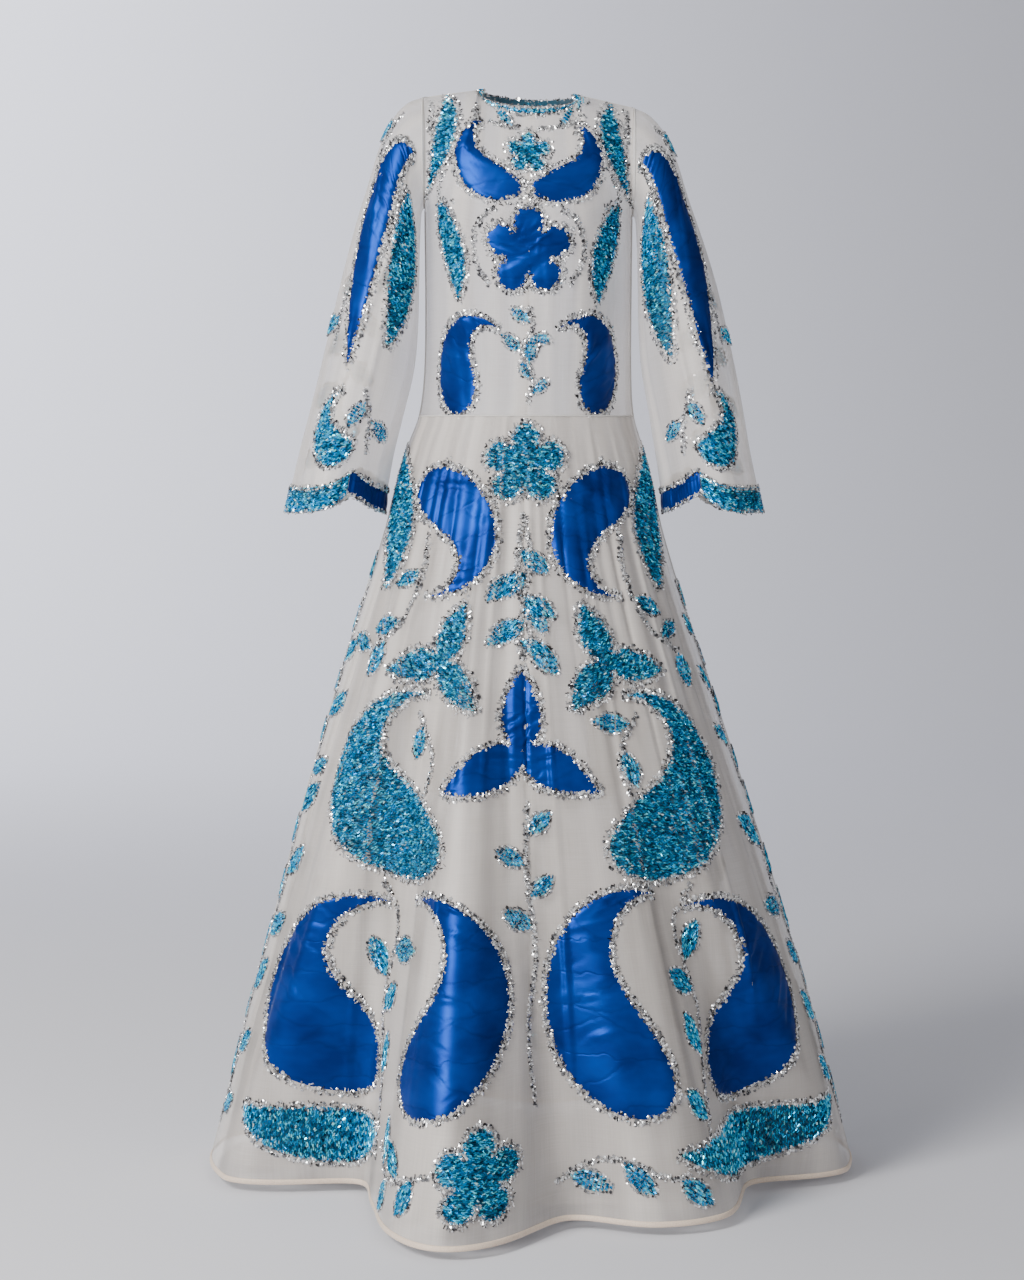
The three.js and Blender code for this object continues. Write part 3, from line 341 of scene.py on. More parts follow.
def bodice_point(turn, down, side, creases=BODICE_CREASES):
    """The bodice's front (side -1) or back (side 1): at each level a rounded box that fades to the
    shoulder seam and the neck's curve above, and to the armhole's oval at its sides."""
    turn, down = np.broadcast_arrays(turn, down)
    lie = turn / 90
    in_neck = np.abs(lie) < NECK_SHARE
    neck_turn = np.radians(np.clip(lie / NECK_SHARE, -1, 1) * 90)
    shoulder = (np.abs(lie) - NECK_SHARE) / (1 - NECK_SHARE)
    top_x = np.where(
        in_neck, NECK["half"] * np.sin(neck_turn), np.sign(lie) * mix(NECK["half"], ARMHOLE["x"], shoulder)
    )
    drop = NECK["side"] - NECK["front" if side < 0 else "back"]
    reach = NECK["forward" if side < 0 else "backward"]
    shoulder_z = mix(NECK["side"], ARMHOLE["top"], shoulder)
    top_z = np.where(in_neck, NECK["side"] - drop * np.cos(neck_turn), shoulder_z)
    top_y = np.where(in_neck, reach * np.cos(neck_turn), 0)

    z = mix(top_z, WAIST_Z, down)
    half = np.where(z > ARMHOLE["bottom"], ARMHOLE["x"], read(BODY, "z", "half", z))
    x = half * mix(top_x / ARMHOLE["x"], np.sin(np.radians(turn)), eased(down * NECK_BLEND))
    lean = np.minimum(1, np.abs(x / half))
    square = read(BODY, "z", "square", z)
    full = read(BODY, "z", "front" if side < 0 else "back", z) * (1 - lean**square) ** (1 / square)
    t = np.clip((top_z - z) / SHOULDER_ROUND, 0, 1)
    rise = mix(np.sqrt(1 - (1 - t) ** 2), 1 - (1 - t) ** 2, np.where(in_neck, np.cos(neck_turn), 0))
    inside = top_y + (full - top_y) * rise
    height = (ARMHOLE["top"] - ARMHOLE["bottom"]) / 2
    up = (z - (ARMHOLE["top"] - height)) / height
    edge = np.where(up > -1, ARMHOLE["depth"] * np.sqrt(np.maximum(0, 1 - up * up)), 0)
    at_side = lean**SIDE_POWER
    y = mix(inside, edge, at_side) + creased(creases, -turn * side, down, BODICE_DEGREE) * (1 - at_side)
    return posed(x, side * y, z)


def cusp_rise(turn):
    """How far the cuff's edge rises: two scallops, powers of the way round, that meet in a cusp before
    and behind."""
    around = np.abs(wrapped(turn))
    outer = (np.minimum(around, CUSP["at"]) / CUSP["at"]) ** CUSP["outer_power"]
    inner = (1 - np.maximum(around - CUSP["at"], 0) / (180 - CUSP["at"])) ** CUSP["inner_power"]
    return CUSP["rise"] * np.where(around < CUSP["at"], outer, inner)


def sleeve_point(turn, down, side, creases=SLEEVE_CREASES):
    """A sleeve: rings that fan out round the underarm, each an oval between its outer and inner edge,
    with folds that grow towards the scalloped cuff."""
    turn, down = np.broadcast_arrays(turn, down)
    across, ahead = np.cos(np.radians(turn)), np.sin(np.radians(turn))
    outer, outer_z, inner, inner_z, depth, forward = (
        read(SLEEVE, "step", column, down)
        for column in ("outer", "outerZ", "inner", "innerZ", "depth", "forward")
    )
    fold = 0
    for at, spread, deep in zip(*SLEEVE_FOLDS.values()):
        fold = fold + deep * bump(wrapped(turn - at) / spread)
    fine = creased(creases, turn, down, SLEEVE_DEGREE) * eased(down * SLEEVE_CREASES_FROM)
    fold = fold * down**2 + fine
    out = 1 + fold / depth
    x = (outer + inner) / 2 + (outer - inner) / 2 * across * out
    raised = eased((down - CUSP["from"]) / (CUSP["full"] - CUSP["from"]))
    z = (outer_z + inner_z) / 2 + (outer_z - inner_z) / 2 * across + cusp_rise(turn) * raised
    return posed(side * x, -forward - depth * ahead * out, z)


class Surface:
    """A curved piece of cloth as a function of two parameters: p round it, in degrees, and q along it. up
    is the sense of q that rises, and sense makes the cross product of the two directions point outwards."""

    def __init__(self, point, plain, step_q, up, sense):
        self.point, self.plain, self.step, self.up, self.sense = point, plain, (0.5, step_q), up, sense

    def sizes(self, p, q):
        """Millimetres to a degree of p and to a unit of q, on the form without its creases."""
        dp, dq = self.step
        return (
            np.linalg.norm(self.plain(p + dp, q) - self.plain(p - dp, q), axis=-1) / (2 * dp) / METRE,
            np.linalg.norm(self.plain(p, q + dq) - self.plain(p, q - dq), axis=-1) / (2 * dq) / METRE,
        )

    def outward(self, p, q):
        """The unit direction that points out of the dress: the cross product of the two directions."""
        dp, dq = self.step
        along = self.point(p + dp, q) - self.point(p - dp, q)
        rising = self.up * (self.point(p, q + dq) - self.point(p, q - dq))
        return unit(self.sense * np.cross(along, rising))

    def lifted(self, p, q, away):
        """Points at a distance in millimetres above the cloth."""
        return self.point(p, q) + self.outward(p, q) * np.asarray(away)[..., None] * METRE


SKIRT = Surface(skirt_point, lambda p, q: skirt_point(p, q, 0, {}), 1.0, 1, 1)


def underskirt_point(turn, z, creases=UNDERSKIRT_CREASES):
    """The underskirt: it leaves the skirt at the waist and hangs a little inside it."""
    ease = UNDERSKIRT_EASE * eased((WAIST_Z - z) / UNDERSKIRT_EASED)
    return skirt_point(turn, z, WALL + SEAM + ease, creases)


UNDERSKIRT = Surface(underskirt_point, underskirt_point, 1.0, 1, 1)


def with_side(point, side):
    """The surface of one side, with its creases and without them."""
    return lambda p, q: point(p, q, side), lambda p, q: point(p, q, side, {})


BODICE_FRONT = Surface(*with_side(bodice_point, -1), 0.002, -1, 1)
BODICE_BACK = Surface(*with_side(bodice_point, 1), 0.002, -1, -1)
SLEEVES = {side: Surface(*with_side(sleeve_point, side), 0.002, -1, -side) for side in (-1, 1)}


def neck_point(turn, rise):
    """The band that edges the neck: turn runs from behind by way of the front, where it is 0, and rise
    goes up from the bodice's edge, along the cloth before and behind and in line with the shoulder at the
    two corners."""
    turn, rise = np.broadcast_arrays(np.asarray(turn, float), np.asarray(rise, float))
    corner = NECK_EDGING["corner"]
    front = (np.abs(turn) <= corner)[..., None]
    folded = np.where(front[..., 0], turn, np.sign(turn) * (2 * corner - np.abs(turn)))
    edge = np.where(front, bodice_point(folded, 0, -1, {}), bodice_point(folded, 0, 1, {}))
    below = np.where(front, bodice_point(folded, NEAR_NECK, -1, {}), bodice_point(folded, NEAR_NECK, 1, {}))
    inward = np.stack([-SHOULDER_LINE[0] * np.sign(turn), 0 * turn, SHOULDER_LINE[1] + 0 * turn], axis=-1)
    near = eased(1 - np.abs(np.abs(turn) - corner) / NECK_EDGING["rounded"])[..., None]
    upward = unit(mix(unit(edge - below), inward, near))
    return edge + upward * (NECK_EDGING["gap"] + rise)[..., None] * METRE


NECK_LINE = Surface(neck_point, neck_point, 0.5, 1, 1)


def surface_of(on, side):
    return SLEEVES[side] if on == "sleeve" else {"skirt": SKIRT, "bodice_front": BODICE_FRONT}[on]


def sides_of(row):
    """The sides that a row of the patches or the vines stands for: -1 is left, 1 is right or the middle."""
    return (-1, 1) if row["pair"] else (1,)


def sided(name, side, row):
    return name + {-1: "_left", 1: "_right"}[side] if row["pair"] else name


# Meshes
def mesh_piece(name, points, faces, material, uv=None, tone=None, smooth=True):
    """A piece from arrays of points and faces, all with the same number of corners, and its material. It
    rides on the dress. uv and tone give a value to each point."""
    mesh = bpy.data.meshes.new(name)
    points = np.asarray(points, np.float32).reshape(-1, 3)
    faces = np.asarray(faces, np.int32)
    count, corners = faces.shape
    mesh.vertices.add(len(points))
    mesh.vertices.foreach_set("co", points.ravel())
    mesh.loops.add(count * corners)
    mesh.loops.foreach_set("vertex_index", faces.ravel())
    mesh.polygons.add(count)
    mesh.polygons.foreach_set("loop_start", np.arange(count, dtype=np.int32) * corners)
    mesh.update(calc_edges=True)
    mesh.polygons.foreach_set("use_smooth", np.full(count, smooth))
    if uv is not None:
        layer = mesh.uv_layers.new(name="cloth")
        layer.data.foreach_set("uv", np.asarray(uv, np.float32).reshape(-1, 2)[faces.ravel()].ravel())
    if tone is not None:
        layer = mesh.attributes.new("tone", "FLOAT", "POINT")
        layer.data.foreach_set("value", np.asarray(tone, np.float32).ravel())
    mesh.validate()
    mesh.materials.append(material)
    piece = bpy.data.objects.new(name, mesh)
    bpy.context.scene.collection.objects.link(piece)
    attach(piece, BODY_NAME)
    return piece


def points_of(piece):
    points = np.empty(len(piece.data.vertices) * 3, np.float32)
    piece.data.vertices.foreach_get("co", points)
    return points.reshape(-1, 3)


def grid_faces(rows, columns, sense=1, wrap=False):
    """Quads of a grid of points, row by row; sense turns them round, and wrap joins the last column to
    the first."""
    row = np.arange(rows - 1)[:, None] * columns
    column = np.arange(columns if wrap else columns - 1)
    a, b = row + column, row + (column + 1) % columns
    quads = np.stack([a, b, b + columns, a + columns], axis=-1).reshape(-1, 4)
    return quads if sense > 0 else quads[:, ::-1]


def cloth_grid(name, surface, p, q, material, away=0.0, wrap=False):
    """A sheet of cloth on a surface, over all of p and q. Its UV map is in metres of cloth: the way along
    the middle row and down the middle column."""
    grid_p, grid_q = np.meshgrid(p, q)
    points = surface.lifted(grid_p, grid_q, away + np.zeros(grid_p.shape))
    u = run_along(points[len(q) // 2])
    v = run_along(points[:, len(p) // 2])
    uv = np.stack(np.broadcast_arrays(u[None, :], v[:, None]), axis=-1)
    rising = (q[-1] - q[0]) * surface.up > 0
    forward = p[-1] > p[0]
    sense = surface.sense * (1 if rising == forward else -1)
    faces = grid_faces(len(q), len(p), sense, wrap)
    return mesh_piece(name, points, faces, material, uv)


def tube(line, outward, half, high, sides, closed):
    """Rings round a line of points: each an oval, half wide to each side and high along the outward
    direction."""
    if closed:
        tangent = np.roll(line, -1, axis=0) - np.roll(line, 1, axis=0)
    else:
        tangent = np.gradient(line, axis=0)
    outward = np.broadcast_to(outward, line.shape)
    side = unit(np.cross(tangent, outward))
    turn = np.linspace(0, 2 * np.pi, sides, endpoint=False)
    aside = side[:, None] * np.cos(turn)[None, :, None] * half
    above = outward[:, None] * np.sin(turn)[None, :, None] * high
    points = line[:, None] + (aside + above) * METRE
    return np.concatenate([points, points[:1]]) if closed else points


def welt(name, surface, p, q, half, high, material, lift=0.0, closed=False, sides=10):
    """A narrow roll along a line on a surface."""
    p, q = np.broadcast_arrays(np.asarray(p, float), np.asarray(q, float))
    line = surface.lifted(p, q, np.full(p.shape, float(lift)))
    points = tube(line, surface.outward(p, q), half, high, sides, closed)
    turn = np.linspace(0, 2 * np.pi, sides, endpoint=False)
    length = run_along(points[:, 0])
    uv = np.stack(np.broadcast_arrays(turn[None, :] * half * METRE, length[:, None]), axis=-1)
    piece = mesh_piece(name, points, grid_faces(len(points), sides, -1, wrap=True), material, uv)
    piece["length"] = float(length[-1])
    return piece


def declare_cloth(piece):
    """Reads a panel's points back as a grid of its rows."""
    grid = points_of(piece).reshape(piece["rows"], -1, 3)


# Materials
class Tree:
    """The nodes of a material or of the world."""

    def __init__(self, owner):
        owner.use_nodes = True
        self.owner, self.nodes, self.links = owner, owner.node_tree.nodes, owner.node_tree.links

    def add(self, kind, inputs=None, **settings):
        """A node of a kind with its settings, each of its inputs set to a value or linked to another's
        output."""
        node = self.nodes.new("ShaderNode" + kind)
        for key, value in settings.items():
            setattr(node, key, value)
        self.feed(node, inputs or {})
        return node

    def feed(self, node, inputs):
        for key, value in inputs.items():
            if isinstance(value, bpy.types.NodeSocket):
                self.links.new(value, node.inputs[key])
            else:
                node.inputs[key].default_value = value

    def ramp(self, factor, stops):
        """The colour between stops, each a place and a colour."""
        node = self.add("ValToRGB", {"Fac": factor})
        elements = node.color_ramp.elements
        while len(elements) < len(stops):
            elements.new(0.5)
        for element, (place, colour) in zip(elements, stops):
            element.position = place
            element.color = (*colour, 1)
        return node.outputs["Color"]

    def cloth_place(self):
        return self.add("UVMap", uv_map="cloth").outputs["UV"]

    def object_place(self):
        return self.add("TexCoord").outputs["Object"]

    def noise(self, place, scale, detail):
        """Noise stretched by three scales."""
        mapping = self.add("Mapping", {"Vector": place, "Scale": scale})
        inputs = {"Vector": mapping.outputs["Vector"], "Scale": 1.0, "Detail": detail, "Roughness": 0.55}
        return self.add("TexNoise", inputs).outputs["Fac"]

    def bump(self, height, strength, distance, normal=None):
        inputs = {"Strength": strength, "Distance": distance, "Height": height}
        if normal is not None:
            inputs["Normal"] = normal
        return self.add("Bump", inputs).outputs["Normal"]

    def share(self, value, start, end, low=0.0, high=1.0, interpolation="LINEAR"):
        """A value from start to end, moved to lie from low to high."""
        inputs = {"Value": value, "From Min": start, "From Max": end, "To Min": low, "To Max": high}
        return self.add("MapRange", inputs, interpolation_type=interpolation).outputs[0]

    def mix(self, factor, a, b, kind="RGBA", **settings):
        inputs = {"Factor": factor, "A": a, "B": b}
        return self.add("Mix", inputs, data_type=kind, **settings).outputs["Result"]


def material_of(name, build):
    """A material whose shader gets the inputs that build makes from its nodes."""
    tree = Tree(bpy.data.materials.new(name))
    tree.feed(tree.nodes["Principled BSDF"], build(tree))
    return tree.owner


# The organza's density bands are partly cloth that lies doubled and partly painted fold shade.
FOLD_SHADE_BAND_ALPHA = 0.13  # how far an organza's density goes up and down over its bands


def organza(light, dark, alpha, roughness):
    """Sheer silk organza: slubs along the warp and the weft, a soft sheen, and long bands down the cloth
    where it lies denser or thinner: partly where the cloth lies doubled, partly painted light and shade of
    its folds."""

    def build(tree):
        place = tree.cloth_place()
        warp, weft = tree.noise(place, (700, 12, 1), 3), tree.noise(place, (20, 1000, 1), 2)
        both = tree.add("Math", {0: warp, 1: weft}, operation="ADD")
        slubs = tree.add("Math", {0: both.outputs[0], 1: 0.5}, operation="MULTIPLY").outputs[0]
        # Bands of density down the cloth: painted fold shade as well as doubled cloth.
        fold_shade_bands = tree.noise(place, (17, 0.8, 1), 1)
        return {
            "Base Color": tree.ramp(slubs, [(0.36, dark), (0.64, light)]),
            "Normal": tree.bump(slubs, 0.25, 0.0004),
            "Alpha": tree.share(fold_shade_bands, 0.4, 0.6, alpha - FOLD_SHADE_BAND_ALPHA, alpha + FOLD_SHADE_BAND_ALPHA, "SMOOTHSTEP"),
            "Roughness": roughness, "Sheen Weight": 0.35, "Sheen Roughness": 0.4, "Specular IOR Level": 0.35,
        }

    return build


CRUMPLE_TURN = 0.55  # the slant of the taffeta's crumples, in radians


def taffeta(tree):
    """Royal blue silk taffeta: a satin gloss of its own colour, fine ribs, sharp slanting crumples as thin
    lines between stretched cells, which also darken the colour as painted crease shade, and colour that goes
    deeper and lighter over the cloth."""
    place = tree.cloth_place()
    slub = tree.noise(place, (60, 900, 1), 3)
    cloud = tree.noise(place, (11, 17, 1), 3)
    colour = tree.ramp(cloud, [(0.33, (0.0, 0.016, 0.145)), (0.67, (0.0, 0.038, 0.27))])
    wander = tree.add("TexNoise", {"Vector": place, "Scale": 30.0, "Detail": 2.0})
    moved = tree.mix(0.03, place, wander.outputs["Color"], "VECTOR")
    mapping = tree.add("Mapping", {"Vector": moved, "Rotation": (0, 0, CRUMPLE_TURN), "Scale": (7, 22, 1)})
    inputs = {"Vector": mapping.outputs["Vector"], "Scale": 1.0}
    cells = tree.add("TexVoronoi", inputs, feature="DISTANCE_TO_EDGE")
    line = tree.ramp(cells.outputs["Distance"], [(0.0, (0, 0, 0)), (0.05, (1, 1, 1))])
    ribs = tree.bump(slub, 0.18, 0.0004)
    return {
        # The crumple lines darken the colour by about a sixth: painted shade in the creases.
        "Base Color": tree.mix(0.16, colour, line, blend_type="MULTIPLY"),
        "Normal": tree.bump(line, 0.22, 0.001, ribs),
        "Roughness": 0.38, "Metallic": 0.5, "Specular IOR Level": 0.1, "Anisotropic": 0.3,
    }


def beads(stops, metallic, roughness, coat):
    """Glass beads and sequins whose colour goes by the tone that each one was given."""

    def build(tree):
        tone = tree.add("Attribute", attribute_name="tone")
        return {
            "Base Color": tree.ramp(tone.outputs["Fac"], stops), "Metallic": metallic, "Roughness": roughness,
            "Specular IOR Level": 0.5, "Coat Weight": coat, "Coat Roughness": 0.08,
        }

    return build


def plain_cloth(light, dark, scale, roughness):
    """Plain cloth with an even grain of its own."""

    def build(tree):
        grain = tree.noise(tree.object_place(), (scale, scale, scale), 3)
        return {
            "Base Color": tree.ramp(grain, [(0.35, dark), (0.65, light)]),
            "Normal": tree.bump(grain, 0.3, 0.0004), "Roughness": roughness, "Sheen Weight": 0.2,
        }

    return build


ORGANZA = material_of("organza", organza((0.79, 0.735, 0.685), (0.68, 0.63, 0.585), 0.5, 0.5))
UNDER_ORGANZA = material_of("under_organza", organza((0.55, 0.51, 0.485), (0.47, 0.435, 0.415), 0.55, 0.6))
TAFFETA = material_of("blue_taffeta", taffeta)
NET = material_of("teal_net", plain_cloth((0.004, 0.085, 0.14), (0.002, 0.045, 0.08), 900, 0.6))
# The beads' own tones differ at random; the brightest stops, bright cyan to near white, are painted glints.
TURQUOISE_TONES_AND_GLINTS = [
    (0.0, (0.0, 0.03, 0.07)), (0.28, (0.0, 0.16, 0.33)), (0.66, (0.004, 0.44, 0.82)),
    (0.93, (0.16, 0.9, 1.0)), (1.0, (0.9, 1.0, 1.0)),
]
SILVER_TONES = [
    (0.0, (0.01, 0.01, 0.012)), (0.2, (0.07, 0.07, 0.075)), (0.5, (0.33, 0.33, 0.34)),
    (0.8, (0.8, 0.8, 0.8)), (1.0, (1.0, 1.0, 1.0)),
]
TURQUOISE = material_of("turquoise_beads", beads(TURQUOISE_TONES_AND_GLINTS, 0.65, 0.18, 0.0))
SILVER = material_of("silver_beads", beads(SILVER_TONES, 0.7, 0.16, 0.3))
SEAM_CLOTH = material_of("seam_cloth", plain_cloth((0.62, 0.60, 0.57), (0.50, 0.48, 0.46), 900, 0.6))
HEM_CLOTH = material_of("hem_ribbon", plain_cloth((0.80, 0.66, 0.53), (0.68, 0.54, 0.43), 600, 0.6))
BUTTON_CLOTH = material_of("button_cover", plain_cloth((0.76, 0.74, 0.71), (0.62, 0.60, 0.58), 1200, 0.5))

# Beads as small closed shapes: a prism of three sides along X for a bugle, one edge outwards, and a low
# pyramid on a pentagon for a sequin or a crystal, its point outwards.
BUGLE_SECTION = (0.5, -0.3), (0, 0.5), (-0.5, -0.3)
BUGLE_POINTS = np.array([(x, y, z) for x in (-0.5, 0.5) for y, z in BUGLE_SECTION], float)
BUGLE_FACES = np.array(
    [(i, (i + 1) % 3, 3 + (i + 1) % 3) for i in range(3)]
    + [(i, 3 + (i + 1) % 3, 3 + i) for i in range(3)]
    + [(0, 2, 1), (3, 4, 5)]
)
GEM_TURNS = [2 * math.pi * i / 5 for i in range(5)]
GEM_FOOT = [(0.5 * math.cos(turn), 0.5 * math.sin(turn), -0.3) for turn in GEM_TURNS]
GEM_POINTS = np.array(GEM_FOOT + [(0, 0, 0.5)], float)
GEM_FACES = np.array([(i, (i + 1) % 5, 5) for i in range(5)] + [(0, 2, 1), (0, 3, 2), (0, 4, 3)])


def strewn(shape, centres, along, outward, sizes, tones):
    """Many copies of a small shape: each point is the centre plus the shape's three coordinates times the
    size, along the copy's own three directions. Gives the points, the faces and a tone for each point."""
    shape_points, shape_faces = shape
    outward = unit(outward - along * (outward * along).sum(axis=1, keepdims=True))
    axes = np.stack([along, np.cross(outward, along), outward], axis=1)
    scaled = shape_points[None] * (sizes * METRE)[:, None, :]
    points = centres[:, None, :] + np.einsum("nki,nij->nkj", scaled, axes)
    faces = shape_faces[None] + (np.arange(len(centres)) * len(shape_points))[:, None, None]
    return points.reshape(-1, 3), faces.reshape(-1, 3), np.repeat(tones, len(shape_points))


def joined(parts):
    """One mesh from several of points, faces and tones."""
    points, faces, tones = zip(*parts)
    bases = np.cumsum([0] + [len(part) for part in points])
    faces = [part + base for part, base in zip(faces, bases)]
    return np.concatenate(points), np.concatenate(faces), np.concatenate(tones)


def bead_piece(name, part, material):
    points, faces, tones = part
    return mesh_piece(name, points, faces, material, tone=tones, smooth=False)


# Patches
SPINE_STEPS = 48
# The power of a spine's turning along it, and how much of the turning comes before the spine stands upright
SPINE = {"leaf": (1, 0.5), "paisley": (1.6, 0.35)}
FOOT = 0.26  # how much of a paisley is its round foot
LEAF_POWER, PAISLEY_POWER, ROSETTE_POWER, SPRAY_POWER = 0.9, 0.8, 0.6, 0.75
OUTLINE_STEPS = 1200
TIP_GAP = 0.003  # how much of a leaf or paisley the grid of cloth leaves out at each tip


def blade(patch, t):
    """A leaf or a paisley from its foot (t 0) to its tip (t 1): its spine is the sum of small steps whose
    heading turns by a power of t, and half its width goes by a sine, or by a round foot and a falling
    cosine."""
    is_leaf = patch["kind"] == "leaf"
    power, start = SPINE[patch["kind"]]
    steps = np.linspace(0, 1, SPINE_STEPS + 1)
    middles = (steps[:-1] + steps[1:]) / 2
    curl = math.radians(patch["curl"])
    turned = curl * (middles**power - start)
    line = np.stack([np.sin(turned), np.cos(turned)]).cumsum(axis=1) * patch["length"] / SPINE_STEPS
    line = np.hstack([np.zeros((2, 1)), line])
    x, y = (np.interp(t, steps, values) - np.interp(0.5, steps, values) for values in line)
    heading = curl * (t**power - start)
    upper = np.clip((t - FOOT) / (1 - FOOT), 0, 1)
    round_foot = np.sqrt(np.maximum(0, 1 - (1 - t / FOOT) ** 2))
    taper = (0.5 + 0.5 * np.cos(np.pi * upper)) ** PAISLEY_POWER
    half = np.sin(np.pi * t) ** LEAF_POWER if is_leaf else np.where(t < FOOT, round_foot, taper)
    return x, y, heading, patch["width"] / 2 * half


def round_radius(turn, patch):
    """A rosette's round petals, whose radius goes by a power of a cosine, or a spray's pointed leaves,
    whose radius falls from each tip by a power of the way to the next valley."""
    petals, leaves = 5, 3
    if patch["kind"] == "rosette":
        return patch["length"] / 2 * (0.5 + 0.5 * np.abs(np.cos(petals * turn / 2)) ** ROSETTE_POWER)
    share = turn * leaves / (2 * np.pi)
    falling = (np.abs(share - np.round(share)) * 2) ** SPRAY_POWER
    return mix(patch["length"] / 2, patch["width"] / 6, falling)


class Laid:
    """A flat frame in millimetres laid on a surface at one place or at many: a runs across it and b up,
    both turned by lean, and mirrored where mirror is -1."""

    def __init__(self, surface, p, q, lean=0, mirror=1):
        self.surface, self.p, self.q, self.mirror = surface, p, q, mirror
        self.size_p, self.size_q = surface.sizes(p, q)
        self.lean = math.radians(lean)

    def place(self, a, b):
        """The surface's two parameters at a point of the flat frame."""
        across = self.mirror * (a * math.cos(self.lean) - b * math.sin(self.lean))
        rise = a * math.sin(self.lean) + b * math.cos(self.lean)
        return self.p + across / self.size_p, self.q + self.surface.up * rise / self.size_q

    def flat(self, p, q):
        """The point of the flat frame at the surface's two parameters."""
        across = self.mirror * wrapped(p - self.p) * self.size_p
        rise = self.surface.up * (q - self.q) * self.size_q
        return (across * math.cos(self.lean) + rise * math.sin(self.lean),
                rise * math.cos(self.lean) - across * math.sin(self.lean))

    def points(self, a, b, away):
        return self.surface.lifted(*self.place(a, b), away)

    def directions(self, a, b, turn):
        """At each point, the unit direction on the surface that lies at an angle to a in the flat frame,
        and the outward one."""
        step = 0.5
        at = self.surface.point(*self.place(a, b))
        ahead = self.surface.point(*self.place(a + step * np.cos(turn), b + step * np.sin(turn)))
        return unit(ahead - at), self.surface.outward(*self.place(a, b))


class Motif(Laid):
    """A patch in its own flat frame, b towards its tip."""

    def __init__(self, patch, side):
        self.patch, self.side = patch, side
        self.name = sided(patch["name"], side, patch)
        mirror = 1 if patch["on"] == "sleeve" else side
        surface = surface_of(patch["on"], side)
        super().__init__(surface, mirror * patch["turn"], patch["at"], patch["lean"], mirror)
        self.is_blade = patch["kind"] in ("leaf", "paisley")

    def outline(self, spacing):
        """Points round the patch's edge about so far apart, and the outward direction at each, as an
        angle."""
        if self.is_blade:
            t = (1 - np.cos(np.pi * np.linspace(0, 1, OUTLINE_STEPS // 2))) / 2
            x, y, heading, half = blade(self.patch, t)
            a = np.concatenate([x + half * np.cos(heading), (x - half * np.cos(heading))[::-1]])
            b = np.concatenate([y - half * np.sin(heading), (y + half * np.sin(heading))[::-1]])
        else:
            turn = np.linspace(0, 2 * np.pi, OUTLINE_STEPS, endpoint=False)
            radius = round_radius(turn, self.patch)
            a, b = -radius * np.sin(turn), radius * np.cos(turn)
        line = np.stack([np.append(a, a[0]), np.append(b, b[0])])
        along = np.concatenate([[0], np.cumsum(np.hypot(*np.diff(line)))])
        at = np.linspace(0, along[-1], max(8, int(along[-1] / spacing)), endpoint=False)
        a, b = np.interp(at, along, line[0]), np.interp(at, along, line[1])
        tangent_a, tangent_b = np.roll(a, -1) - np.roll(a, 1), np.roll(b, -1) - np.roll(b, 1)
        return a, b, np.arctan2(-tangent_a, tangent_b)

    def cloth(self, cell):
        """A grid over the patch with cells of about a size: for each point a, b and how near it is to the
        edge."""
        patch = self.patch
        if self.is_blade:
            rows = max(12, int(patch["length"] / cell))
            columns = max(8, int(patch["width"] / cell))
            t = TIP_GAP + (1 - 2 * TIP_GAP) * (1 - np.cos(np.pi * np.linspace(0, 1, rows))) / 2
            x, y, heading, half = (values[:, None] for values in blade(patch, t))
            w = np.sin(np.pi / 2 * np.linspace(-1, 1, columns + 1))
            a = x + half * w * np.cos(heading)
            b = y - half * w * np.sin(heading)
            edge = np.maximum(np.abs(w)[None, :], (np.abs(2 * t - 1) ** 6)[:, None])
            return a, b, edge, False
        rings = max(6, int(patch["length"] / 2 / cell))
        turn = np.linspace(0, 2 * np.pi, max(40, int(patch["length"] * 2.6 / cell)), endpoint=False)
        radius = round_radius(turn, patch)
        share = np.linspace(1, 0.02, rings)[:, None]
        return -radius * np.sin(turn) * share, radius * np.cos(turn) * share, share + 0 * turn, True

    def sheet(self, ending, cell, away, material, slot):
        """The patch's cloth, standing off the panel as away gives it for a, b and the nearness to the edge.
        It replaces the patch's solid."""
        a, b, edge, wrap = self.cloth(cell)
        points = self.points(a, b, away(a, b, edge))
        faces = grid_faces(*a.shape, self.facing(points, grid_faces(*a.shape, 1, wrap)), wrap)
        uv = np.stack([a, b], axis=-1) * METRE
        piece = mesh_piece(self.name + ending, points, faces, material, uv)
        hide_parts(self.name)
        a, b, _ = self.outline(spacing=2)

    def facing(self, points, faces):
        """1 where faces made in that order look outwards, -1 where they have to be turned round."""
        corner = points.reshape(-1, 3)[faces]
        normal = np.cross(corner[:, 2] - corner[:, 0], corner[:, 3] - corner[:, 1]).sum(axis=0)
        return 1 if normal @ self.surface.outward(self.p, self.q) > 0 else -1


CREASE_KINDS = (
    # how many to a hundred millimetres of patch, half the width, half the length, height and spread of
    # direction
    {"count": 6.0, "wide": (3.4, 5.6), "long": (10, 34), "high": (0.6, 1.3), "turn": 0.6},
    {"count": 3.2, "wide": (3.4, 5.0), "long": (34, 90), "high": (1.0, 1.9), "turn": 0.25},
    {"count": 2.6, "wide": (6.0, 13.0), "long": (30, 95), "high": (1.4, 3.0), "turn": 0.35},
)
TAFFETA_CELL, NET_CELL = 3.2, 8
BUGLE = {
    "length": 4.4, "lengths": (0.8, 1.1), "thick": 2.1, "apart": 4.8, "row": 2.5, "turn": 0.3, "lean": 0.3,
    "lift": (1.2, 1.9), "tones": (1.15, 1.1),
}
FIELD = {"net_lift": 0.5, "margin": 4, "stray": (0.45, 0.3), "slant": 0.25}
